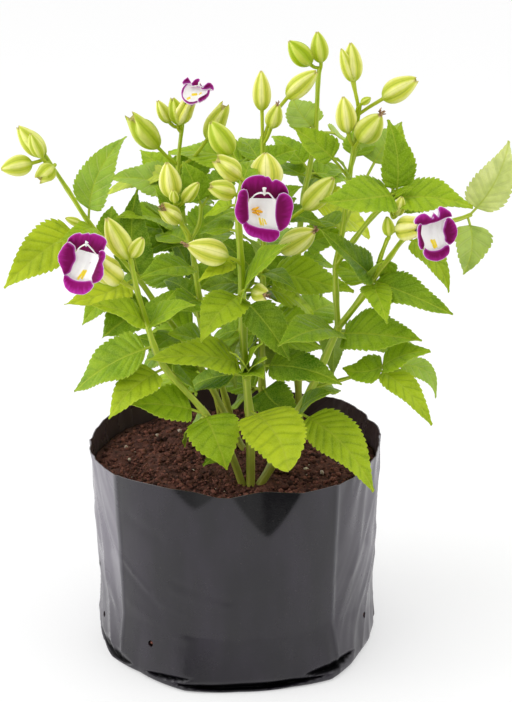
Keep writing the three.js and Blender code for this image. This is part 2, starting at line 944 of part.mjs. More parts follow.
function leafyStem({ name, axes }) {
  const parts = [];
  axes.forEach(({ thick, path, leaves, pods }, index) => {
    const radiusAt = (t) => between(thick[0], thick[1], t) / 2;
    const joints = path.map(seen);
    const way = index ? [...joints] : [joints[0].clone().setZ(joints[0].z - ROOTED), ...joints];
    way.push(joints.at(-1).clone().lerp(joints.at(-2), -0.06));
    const used = Array(path.length).fill(0);
    const foot = (k) => {
      const down = joints[k - 1].clone().sub(joints[k]).normalize();
      const joint = joints[k].clone().addScaledVector(down, STAGGER * used[k]);
      used[k]++;
      return { joint, radius: radiusAt(k / (path.length - 1)) };
    };
    parts.push(tube(way, radiusAt, 4));
    parts.push(...leaves.map((row) => leaf(foot(row[0]), row)));
    parts.push(...pods.map((row) => pod(foot(row[0]), row)));
    for (const bloom of BLOOMS) {
      const [stemName, axis, joint] = bloom.from;
      if (stemName === name && axis === index) parts.push(bloomStem(bloom, foot(joint)));
    }
  });
  let solid = wasm.Manifold.union(parts);
  for (const bloom of BLOOMS) {
    if (bloom.from[0] === name) solid = solid.subtract(corollaTube(bloom, GAP + 0.1));
  }
  return oneBody(solid);
}

// A seeded random draw
function randomFrom(seed) {
  let state = seed;
  return () => {
    state = (state * 1664525 + 1013904223) % 4294967296;
    return state / 4294967296;
  };
}

// The bag's creases are the corners of its section; the panels between them are a little flatter
const CREASES = [0, 47, 139, 180, 219, 313];
const SECTION_STEPS = 32;
const PANEL_FLATNESS = 0.04;
const SIDE_SQUEEZE = 0.025;

// The folded bottom edge as [angle, radius]: flat stretches between corners, which the wall narrows out of
const FOOT_EDGE = [
  [0, 72],
  [13, 72],
  [52, 77],
  [72, 74],
  [90, 73],
  [108, 74],
  [128, 77],
  [167, 72],
  [193, 72],
  [212, 75],
  [229, 73.5],
  [251, 76],
  [271, 73.5],
  [292, 75],
  [307, 79.5],
  [329, 73],
  [347, 72],
  [360, 72],
];
const FOOT_HEIGHT = 28;

// Angles round the bag with a corner on each crease
function sectionAngles() {
  const angles = [];
  CREASES.forEach((start, k) => {
    const end = k + 1 < CREASES.length ? CREASES[k + 1] : 360;
    const steps = Math.round(((end - start) / 360) * SECTION_STEPS);
    for (let i = 0; i < steps; i++) angles.push(start + ((end - start) * i) / steps);
  });
  return angles;
}

// The wall's radius: it flares upwards, its panels are flattened, and it is narrower from side to side
function wallRadius(degrees, height) {
  const k = CREASES.findLastIndex((crease) => degrees >= crease);
  const start = CREASES[k];
  const end = k + 1 < CREASES.length ? CREASES[k + 1] : 360;
  const half = THREE.MathUtils.degToRad((end - start) / 2);
  const off = THREE.MathUtils.degToRad(degrees - (start + end) / 2);
  const chord = Math.cos(half) / Math.cos(off);
  const flare = between(-2, 2, height / BAG_HEIGHT);
  const squeeze = 1 - SIDE_SQUEEZE * Math.cos(THREE.MathUtils.degToRad(degrees)) ** 4;
  return (BAG_RADIUS + flare) * (1 - PANEL_FLATNESS * (1 - chord)) * squeeze;
}

function footRadius(degrees) {
  const k = FOOT_EDGE.findIndex(([angle]) => degrees < angle);
  const [[from, low], [to, high]] = [FOOT_EDGE[k - 1], FOOT_EDGE[k]];
  return between(low, high, (degrees - from) / (to - from));
}

function bagRadius(degrees, height) {
  if (height > FOOT_HEIGHT) return wallRadius(degrees, height);
  return between(footRadius(degrees), wallRadius(degrees, FOOT_HEIGHT), height / FOOT_HEIGHT);
}

function rimHeight(degrees) {
  return BAG_HEIGHT + RIM_WAVE * Math.sin(THREE.MathUtils.degToRad(3 * degrees + 60));
}

function bagRing(height, inset) {
  return sectionAngles().map((degrees) => {
    const angle = THREE.MathUtils.degToRad(degrees);
    const z = height === "rim" ? rimHeight(degrees) : height;
    const radius = bagRadius(degrees, z) - inset;
    return vec(radius * Math.cos(angle), radius * Math.sin(angle), z);
  });
}

// Heights of the bag's lower levels, with how far the edge that meets the ground draws in
const FOOT = [
  [0, 1.2],
  [2.5, 0],
  [FOOT_HEIGHT, 0],
];

// Punched drain holes as [angle, height]
const DRAINS = [
  [235, 19],
  [335, 19],
  [199, 16],
  [192, 41],
  [55, 19],
  [155, 19],
  [15, 41],
  [110, 41],
];

function growBag() {
  const outer = [
    ...FOOT.map(([height, inset]) => bagRing(height, inset)),
    bagRing("rim", 0),
  ];
  const inner = [
    bagRing("rim", BAG_WALL),
    bagRing(FOOT[2][0], BAG_WALL),
    bagRing(FOOT[1][0], FOOT[1][1] + BAG_WALL),
    bagRing(BAG_WALL, FOOT[0][1] + BAG_WALL),
  ];
  let bag = loft([...outer, ...inner]);
  for (const [degrees, height] of DRAINS) {
    const angle = THREE.MathUtils.degToRad(degrees);
    const radius = bagRadius(degrees, height);
    const at = (r) => vec(r * Math.cos(angle), r * Math.sin(angle), height);
    bag = bag.subtract(tube([at(radius - 4), at(radius + 4)], () => DRAIN_RADIUS, 6));
  }
  return bag;
}

// The soil fills the bag, stands a little proud in the middle, and is lumpy on top
function pottingSoil(stems) {
  const inset = BAG_WALL + GAP;
  const random = randomFrom(7);
  const rim = bagRing(SOIL_TOP - 1, inset);
  const crown = [0.84, 0.56, 0.26].map((share) =>
    rim.map((p) => {
      const z = SOIL_TOP + SOIL_MOUND * (1 - share ** 2) + SOIL_LUMP * (random() - 0.5) * 2;
      return vec(p.x * share, p.y * share, z);
    }),
  );
  let soil = loft([
    [vec(0, 0, SOIL_TOP + SOIL_MOUND)],
    ...crown.reverse(),
    rim,
    bagRing(FOOT[2][0], inset),
    bagRing(FOOT[1][0], FOOT[1][1] + inset),
    bagRing(BAG_WALL + GAP, FOOT[0][1] + inset),
  ]);
  for (const { axes } of stems) {
    const { thick, path } = axes[0];
    const [foot, next] = path.map(seen);
    const bottom = foot.clone().setZ(foot.z - ROOTED - GAP);
    const hole = tube([bottom, foot, next], () => thick[0] / 2 + GAP + 0.15, 4);
    soil = soil.subtract(hole);
  }
  return oneBody(soil);
}

const FINISH = {
  film: { color: 0x2a2a2d, roughness: 0.35, metalness: 0 },
  soil: { color: 0x4a2c20, roughness: 0.95, metalness: 0 },
  foliage: { color: 0x7fae2c, roughness: 0.55, metalness: 0 },
  petal: { color: 0x7a1166, roughness: 0.5, metalness: 0 },
  stamen: { color: 0xf4f2ea, roughness: 0.5, metalness: 0 },
};

// A named mesh of a solid, in its finish
function meshOf(name, solid, finish) {
  const { numProp, vertProperties, triVerts } = solid.getMesh();
  const geometry = new THREE.BufferGeometry();
  geometry.setAttribute("position", new THREE.BufferAttribute(vertProperties, numProp));
  geometry.setIndex(new THREE.BufferAttribute(triVerts, 1));
  geometry.computeVertexNormals();
  const mesh = new THREE.Mesh(geometry, new THREE.MeshStandardMaterial(FINISH[finish]));
  mesh.name = name;
  return mesh;
}

const pottedPlant = new THREE.Group();
pottedPlant.name = "potted_wishbone_flower";
pottedPlant.add(meshOf("grow_bag", growBag(), "film"));
pottedPlant.add(meshOf("potting_soil", pottingSoil(STEMS), "soil"));
for (const stem of STEMS) {
  pottedPlant.add(meshOf(stem.name, leafyStem(stem), "foliage"));
}
for (const bloom of BLOOMS) {
  const suffix = bloom.name.replace("bloom_", "");
  pottedPlant.add(meshOf(bloom.name, corolla(bloom), "petal"));
  pottedPlant.add(meshOf(`wishbone_${suffix}`, wishbone(bloom), "stamen"));
}

export default pottedPlant;
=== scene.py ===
"""A wishbone flower in bloom in a black film grow bag: its looks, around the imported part.

The lists and the mesh makers work in millimetres, in the part's frame; mesh_object turns them into metres.
Each leafy stem is drawn along the same joints as its solid, and each bloom in the same place as its own.
"""

import math

import bmesh
import bpy
import numpy as np
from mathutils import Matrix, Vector, noise


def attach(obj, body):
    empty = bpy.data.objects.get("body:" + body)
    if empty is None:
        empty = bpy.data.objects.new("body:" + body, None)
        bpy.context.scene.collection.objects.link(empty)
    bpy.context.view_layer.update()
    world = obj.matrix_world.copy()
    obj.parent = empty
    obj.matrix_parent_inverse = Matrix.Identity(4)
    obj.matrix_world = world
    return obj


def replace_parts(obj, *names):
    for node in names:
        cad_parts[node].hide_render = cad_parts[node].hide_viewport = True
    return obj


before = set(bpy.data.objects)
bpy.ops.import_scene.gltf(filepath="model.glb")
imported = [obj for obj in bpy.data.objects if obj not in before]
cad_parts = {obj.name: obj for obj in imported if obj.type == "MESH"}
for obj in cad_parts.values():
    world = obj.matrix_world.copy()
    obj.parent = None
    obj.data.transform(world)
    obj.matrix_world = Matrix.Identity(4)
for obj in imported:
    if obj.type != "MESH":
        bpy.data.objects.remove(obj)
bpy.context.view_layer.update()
rng = np.random.default_rng(11)

# The viewer of the photograph, which is 512 by 702 pixels: half a millimetre a pixel at the bag's axis
EYE = np.array([9.75, -834.0, 441.0])
PITCH = math.radians(19.2)
FOCAL_PIXELS = 1766
PHOTO_WIDTH = 512
PHOTO_HEIGHT = 702
SENSOR = 36

# Driving dimensions of the bag and its soil
BAG_RADIUS = 74.2
BAG_HEIGHT = 104
FILM = 0.5
RIM_WAVE = 1.4
SOIL_TOP = 92
SOIL_MOUND = 3
ROOTED = 12
DRAIN_RADIUS = 1.6

# Driving dimensions of the plant
BLADE_THICK = 0.36
BLADE_ARCH = 0.09
BLADE_FOLD = 0.16
BLADE_WIDEN = 1.16
TOOTH_PITCH = 2.6
TOOTH_BITE = 0.75
TEETH_A_VEIN = 2
QUILTING = 0.55
PETIOLE_RADIUS = 0.65
STAGGER = 1.6
STALK_RADIUS = 0.8
PETAL_THICK = 0.28

# The axes of the leafy stems, each a path of joints (u, v, depth), thick at its foot and at its top.
# A leaf is (joint, tip u, tip v, tip depth, width, share that is petiole, tone), then how far its midrib
# bows sideways, degrees that its face turns towards the viewer and how blunt its tip is, 0 where left out.
# Tone goes from 0 for deep green over 1 for yellow and 1.6 for pale to 2.2 for grey green.
# The inner leaves are smaller ones inside the bush, which the solids leave out.
# A pod, the ribbed calyx, is (joint, base u, base v, base depth, tip u, tip v, tip depth, width,
# how far its two lips part, tone from green to cream), then 1 where a withered bloom hangs from its tip.
AXES = [
    {
        "stem": "stem_centre",
        "thick": (4.4, 2.4),
        "path": [
            (250.5, 489, -37), (250.5, 440, -37), (249, 410, -37), (245, 365, -37), (243, 330, -37),
            (242, 294, -37), (241, 262, -36), (239, 232, -35), (238, 205, -33), (243, 180, -29),
        ],
        "leaves": [
            (2, 289, 470, -74, 25, 0.12, 0.82, 3, 0, 0.5), (3, 148, 360, -60, 19, 0.08, 0.7),
            (3, 342, 384, -50, 17.5, 0.24, 0.15, 2), (3, 264, 378, -54, 11, 0.1, 0.6),
            (4, 211, 342, -24, 11, 0.1, 0.3), (5, 200.5, 341, -64, 18, 0.08, 0.75, -1),
            (5, 289.5, 361, -45, 17, 0.12, 0.1), (5, 291, 243, -62, 20, 0.06, 0.3),
            (6, 198.4, 281, -50, 8, 0.16, 0.75), (7, 200, 234, -14, 10, 0.16, 0.2),
            (8, 204, 218, -22, 9, 0.14, 0.6),
        ],
        "inner": [
            (4, 236, 388, -12, 12, 0.12, 0.1), (3, 186, 392, -14, 17, 0.12, 0),
            (3, 263, 343, -52, 9, 0.1, 0.5), (3, 267, 358, -52, 9, 0.1, 0.55),
            (3, 230, 352, -56, 6, 0.1, 0.7), (9, 252, 160, -6, 10, 0.1, 0.4),
            (7, 262, 268, -8, 11, 0.12, 0.25), (8, 260, 240, -2, 14, 0.12, 0.3),
        ],
        "pods": [
            (6, 228, 257, -44, 186, 245, -50, 13, 0.03, 0.8, 1),
            (5, 252, 290, -47, 268, 296, -51, 9, 0.3, 0.6, 1),
            (9, 240, 178, -32, 214, 158, -36, 11, 0.2, 0.6),
            (8, 235, 194, -36, 208, 186, -42, 10, 0.15, 0.45),
            (9, 265.5, 190, -16, 265.5, 152, -12, 17, 0.03, 0.95),
            (9, 232, 154, -17, 210, 121, -17, 12.5, 0.05, 0.1),
        ],
    },
    {
        "stem": "stem_left",
        "thick": (3.8, 2),
        "path": [
            (244, 489, -36), (229, 450, -38), (204, 412, -42), (165, 368, -48), (154, 346, -50),
            (147, 324, -51), (137, 290, -52), (131, 262, -52),
        ],
        "leaves": [
            (2, 227, 470, -58, 22, 0.08, 0.55), (2, 128, 405, -54, 19, 0.2, 0.55),
            (2, 185, 447, -22, 15, 0.15, 0.2, -3), (3, 108.6, 419, -66, 16, 0.12, 0.72, -1.5),
            (4, 74.3, 392, -44, 22, 0.08, 0.3), (5, 92, 305, -64, 14, 0.06, 0.6),
            (5, 195, 305, -66, 14, 0.06, 0.45),
        ],
        "inner": [
            (3, 196, 396, -30, 13, 0.12, 0.35), (5, 176, 290, -34, 12, 0.12, 0.3),
            (1, 203, 466, -46, 6, 0.3, 0.1),
        ],
        "pods": [
            (7, 129, 259, -52, 106, 217, -54, 11.5, 0.07, 0.55),
            (7, 131, 257, -54, 143, 237, -56, 7.5, 0.08, 0.5),
        ],
    },
    {
        "stem": "stem_right",
        "thick": (4.2, 3),
        "path": [
            (257, 489, -36), (273, 463, -34), (298, 412, -28), (312, 388, -26), (325, 358, -24),
            (338, 328, -22),
        ],
        "leaves": [
            (2, 373.7, 491.4, -58, 21, 0.1, 0.66, 3), (2, 331, 392, -44, 12, 0.2, 0.2),
            (3, 334, 392, -4, 15, 0.1, 0.5), (5, 333, 377, 4, 12, 0.08, 0.2),
            (5, 278, 346.5, -62, 20, 0.06, 0.2), (5, 422, 341, -44, 24, 0.12, 0.45, -2),
            (5, 424, 354, 4, 19, 0.1, 0.3),
        ],
    },
    {
        "stem": "stem_right",
        "thick": (1.8, 1.4),
        "path": [(312, 388, -26), (341, 380, -28), (365, 373, -32), (383, 367, -36)],
        "leaves": [
            (3, 342.5, 369, -32, 15, 0, 0.3, 4), (3, 430.5, 351, -44, 14.5, 0.06, 0.35, 0.8),
            (3, 431.8, 425.7, -58, 12.2, 0.08, 0.6, 1.5), (3, 436, 398, -16, 8.5, 0.25, 2.1, 10.5, 60),
        ],
    },
    {
        "stem": "stem_right",
        "thick": (3, 1.8),
        "path": [
            (338, 328, -22), (336, 294, -18), (336, 265, -14), (342.5, 230, -10), (349.4, 176, -5),
            (354, 147, -3), (359, 108, -2),
        ],
        "leaves": [
            (4, 368, 124, 22, 13, 0.3, 0.4), (4, 293, 128, -2, 16, 0.34, 0.45),
            (4, 334, 158, -18, 9, 0.1, 0.5), (3, 312, 222, 16, 15, 0.15, 0.3),
        ],
        "inner": [(3, 399, 123, 14, 17, 0.6, 2.1)],
        "pods": [
            (5, 348, 133, -6, 343, 96, -8, 10.5, 0.03, 0.8),
            (5, 359, 141, -6, 381, 114, -10, 13.4, 0.05, 0.5, 1),
            (6, 354, 82, -2, 350.5, 42, -2, 9.6, 0.04, 0.6),
            (6, 352.5, 82, -4, 341, 48, -4, 6.5, 0.03, 0.6),
            (6, 382.5, 99, -3, 418, 79, -5, 12, 0.09, 0.65),
            (6, 361, 104, -4, 371, 97.5, -6, 4, 0.03, 0.2),
        ],
    },
    {
        "stem": "stem_right",
        "thick": (2.6, 1.6),
        "path": [(336, 265, -14), (354, 240, -16), (373, 216, -20), (388, 204, -24), (398, 194, -26)],
        "leaves": [
            (4, 319, 203, -44, 22.5, 0.12, 0.35, 4.5), (4, 388, 119.5, -20, 14, 0.1, 0.25, -2),
            (4, 473, 207, -38, 20, 0.06, 0.5, -0.2), (4, 401, 122, 4, 10, 0.12, 0.6),
        ],
        "inner": [
            (4, 381, 190, -30, 6, 0.1, 0.4), (4, 413, 187, -34, 7, 0.1, 0.5),
            (3, 420, 213, -28, 9, 0.2, 0.6),
        ],
        "pods": [(4, 396, 216, -34, 402, 196, -36, 6.5, 0.06, 0.6)],
    },
    {
        "stem": "stem_right",
        "thick": (3, 1.7),
        "path": [
            (338, 328, -22), (362, 297, -26), (374, 278, -28), (390, 257, -24), (406, 237, -18),
            (430, 226, -8), (457, 219.6, 0), (470, 215, 4),
        ],
        "leaves": [
            (2, 319, 228, -40, 16.5, 0.04, 0.15, 5), (2, 453, 315, -48, 17, 0.04, 0.2, -2.2),
            (2, 387, 324, -60, 12, 0.08, 0.55), (2, 334, 264, -8, 14, 0.1, 0.5),
            (2, 384, 262, -48, 6, 0.1, 0.6), (4, 448.5, 293, -24, 12.5, 0.08, 0.6, 3.2),
            (7, 509, 140.7, 10, 17, 0.1, 1.55, -4, 10), (7, 463, 274.7, -2, 16.5, 0.14, 2.05, 2.5, 20),
        ],
        "inner": [(3, 383, 283, -26, 9, 0.1, 0.4)],
    },
    {
        "stem": "stem_right",
        "thick": (2, 1.5),
        "path": [(374, 278, -28), (381, 256, -36), (387, 240, -40)],
        "pods": [(2, 389, 236, -42, 387, 216, -44, 6, 0.06, 0.2)],
    },
    {
        "stem": "stem_far_left",
        "thick": (3.6, 1.8),
        "path": [
            (247, 455, 6), (234, 432, 8), (205, 375, 8), (180, 335, 6), (157, 305, 4), (137, 277, 2),
            (109, 245, 0), (88.5, 222, -2), (67.8, 190, -2), (46.5, 158, -2),
        ],
        "leaves": [
            (2, 186, 394, -14, 19, 0.1, 0.4), (3, 152, 352, -18, 12, 0.12, 0.3),
            (4, 102, 338, -18, 25, 0.12, 0.25), (5, 64, 304.5, -24, 17, 0.2, 0.9, 6),
            (5, 82, 325, -4, 16, 0.2, 0.45, -1.5), (6, 112, 206, 12, 11, 0.12, 0.3),
            (7, 126.5, 136, 8, 16.7, 0.12, 2.1, 3.6), (7, 4, 288, -24, 19.5, 0.18, 0.82, -2.2, 28),
            (7, 57, 243, -30, 9, 0.06, 0.6, 2.5, 10),
        ],
        "inner": [
            (2, 134, 337, 20, 20, 0.12, 0.3, -2), (3, 142, 374, 16, 15, 0.12, 0.25),
            (5, 112, 296, 14, 13, 0.12, 0.2), (5, 137.5, 189, 12, 16, 0.1, 0.05, 4),
            (4, 104, 322, 6, 14, 0.12, 0.35),
        ],
        "pods": [
            (7, 82, 225, -6, 65, 218, -10, 4.5, 0.04, 0.5),
            (9, 32.6, 163, -5, 0.5, 169.5, -9, 10.5, 0.03, 0.55),
            (9, 45, 156, -1, 17, 126, -1, 11, 0.08, 0.5), (9, 42, 158, -6, 30, 133, -9, 7, 0.05, 0.4),
            (9, 54, 166, -6, 37, 181, -10, 9.5, 0.25, 0.4),
        ],
    },
    {
        "stem": "stem_back_left",
        "thick": (3.4, 1.6),
        "path": [
            (224, 432, 37), (215, 390, 36), (202, 330, 34), (193, 285, 33), (186, 235, 31),
            (180, 190, 29), (178, 165, 28), (182, 127, 26),
        ],
        "leaves": [
            (1, 150, 380, 60, 18, 0.15, 0.45), (2, 150, 332, 40, 22, 0.15, 0.4),
            (2, 236, 318, 78, 22, 0.15, 0.3), (3, 128, 268, 52, 21, 0.15, 0.3),
            (3, 146, 206, 16, 11, 0.14, 0), (4, 117, 216, -2, 19, 0.1, 0.5, -1),
            (4, 143, 256, 2, 15, 0.16, 0.25), (4, 238, 210, 60, 20, 0.16, 0.4),
            (5, 111, 178, 28, 20, 0.1, 2.1), (5, 140, 150, 48, 15, 0.2, 0.55),
            (5, 216, 141, 50, 18, 0.1, 0.35, 2),
        ],
        "inner": [
            (6, 105, 195, 40, 11, 0.12, 1.1, 1.5), (4, 120, 222, 22, 17, 0.12, 0.2),
            (4, 124, 238, 24, 17, 0.12, 0.1), (4, 166, 262, 36, 11, 0.12, 0.15),
            (5, 214, 204, 44, 12, 0.12, 0.3), (3, 160, 310, 50, 18, 0.12, 0.2),
            (3, 232, 262, 52, 18, 0.12, 0.25),
        ],
        "pods": [
            (6, 158.5, 148, 22, 128, 113, 18, 13, 0.24, 0.2),
            (6, 207, 139.5, 26, 226, 102, 24, 10.5, 0.2, 0.45),
            (7, 170, 123, 24, 157, 100, 22, 7, 0.08, 0.55), (7, 181, 125, 24, 172, 97, 20, 9, 0.1, 0.15),
        ],
    },
    {
        "stem": "stem_mid_left",
        "thick": (3.4, 2),
        "path": [
            (240, 446, 18), (226, 400, 14), (212, 350, 6), (200, 300, -4), (195, 268, -8),
            (190, 242, -10), (181, 222, -12), (176, 204, -13),
        ],
        "leaves": [
            (2, 168, 334, -12, 17, 0.12, 0.4), (3, 170, 314, -22, 17, 0.1, 0.4),
            (4, 140, 278, -34, 15, 0.1, 0.25), (6, 155, 186, -6, 11, 0.12, 0.4),
        ],
        "inner": [
            (3, 164, 280, 22, 12, 0.12, 0.1), (5, 158, 236, 20, 15, 0.12, 0.25),
            (5, 234, 234, 18, 12, 0.12, 0.3),
        ],
        "pods": [
            (7, 173, 198, -14, 166.5, 161.6, -16, 11.5, 0.04, 0.85),
            (7, 183, 202, -16, 199, 182, -20, 7, 0.06, 0.5),
            (7, 175, 202, -18, 173, 190, -23, 5, 0.04, 0.5),
            (5, 180, 222, -18, 160, 206, -24, 9.5, 0.26, 0.75, 1),
        ],
    },
    {
        "stem": "stem_mid_left",
        "thick": (2, 1.6),
        "path": [(190, 242, -10), (199, 224, -9), (201, 206, -6)],
        "leaves": [(2, 183, 161, -2, 14, 0.1, 0.3), (2, 247, 158, 12, 13, 0.16, 0.2)],
    },
    {
        "stem": "stem_back",
        "thick": (3.8, 1.9),
        "path": [
            (264, 438, 29), (262, 385, 26), (262, 330, 22), (263, 270, 18), (264, 215, 14),
            (263, 165, 12), (262.5, 139, 10),
        ],
        "leaves": [
            (1, 302, 418, 4, 20, 0.12, 0.1, -5), (1, 232, 410, 44, 18, 0.15, 0.4),
            (2, 316, 322, 2, 19, 0.12, 0.55), (2, 216, 346, 26, 21, 0.12, 0.4),
            (3, 354, 292, 8, 21, 0.12, 0.5, -3), (3, 296, 290, -14, 9, 0.12, 0.25),
            (3, 214, 268, 26, 20, 0.12, 0.25), (4, 325, 226, -10, 13, 0.16, 0.25),
            (4, 304, 186, 4, 13, 0.14, 0.35), (5, 297, 150, 16, 13, 0.14, 0.35),
            (5, 240, 138, 44, 12, 0.16, 0.3),
        ],
        "inner": [
            (5, 168, 153, 46, 19, 0.12, 0.5), (3, 214, 237, 32, 17, 0.12, 0.2),
            (3, 204, 290, 36, 18, 0.12, 0.25), (3, 314, 318, 38, 18, 0.12, 0.6),
            (3, 298, 256, 42, 16, 0.12, 0.35), (2, 288, 358, 34, 16, 0.12, 0.25),
            (2, 236, 364, 38, 17, 0.12, 0.2), (1, 214, 382, 52, 16, 0.12, 0.25),
            (2, 326, 350, 38, 16, 0.12, 0.3), (3, 248, 300, 40, 16, 0.12, 0.2),
            (4, 286, 222, 34, 14, 0.12, 0.3), (4, 296, 198, 34, 10, 0.12, 0.3),
            (2, 266, 372, 44, 15, 0.12, 0.2), (3, 284, 303, 36, 15, 0.12, 0.25),
        ],
        "pods": [
            (6, 262, 111, 10, 261, 70, 10, 9.4, 0.03, 0.8),
            (6, 287, 98, 8, 317.5, 71, 4, 10.6, 0.06, 0.6),
            (6, 271, 128, 6, 278, 103.5, 2, 8.5, 0.08, 0.45, 1),
            (4, 304, 209, -10, 334, 177, -16, 12, 0.05, 0.5),
            (3, 281, 250, -8, 315.6, 230.6, -24, 13, 0.05, 0.75, 1),
        ],
    },
    {
        "stem": "stem_top",
        "thick": (3.8, 1.6),
        "path": [
            (300, 432, 38), (298, 380, 37), (296, 320, 35), (298, 250, 31), (304, 195, 28),
            (309, 171, 27), (315.6, 130.6, 25), (318, 82, 23), (319.7, 68, 22),
        ],
        "leaves": [
            (1, 334, 391, 62, 22, 0.14, 0.15), (2, 254, 332, 66, 23, 0.14, 0.35),
            (2, 338, 304, 60, 22, 0.14, 0.4), (3, 346, 232, 34, 17, 0.14, 0.4),
            (3, 262, 236, 68, 21, 0.14, 0.3), (4, 330, 172, 72, 14, 0.14, 0.3),
            (5, 272, 136, 50, 12, 0.14, 0.35), (6, 292, 97, 36, 16.5, 0.1, 2.1, 2.5),
            (6, 346, 140, 42, 12, 0.5, 2.1),
        ],
        "inner": [
            (3, 320, 299, 48, 17, 0.12, 0.25), (5, 348, 182, 44, 15, 0.12, 0.4),
            (3, 334, 268, 40, 10, 0.12, 0.4), (5, 281, 163, 44, 9, 0.12, 0.3, 2.5),
            (4, 370, 238, 42, 24, 0.12, 1), (5, 346, 170, 50, 12, 0.12, 0.3),
            (2, 322, 350, 58, 18, 0.12, 0.2),
        ],
        "pods": [
            (8, 311, 65, 21, 288.5, 40.5, 19, 11, 0.04, 0),
            (8, 321, 63, 21, 317, 31, 20, 9.2, 0.05, 0.2),
        ],
    },
]

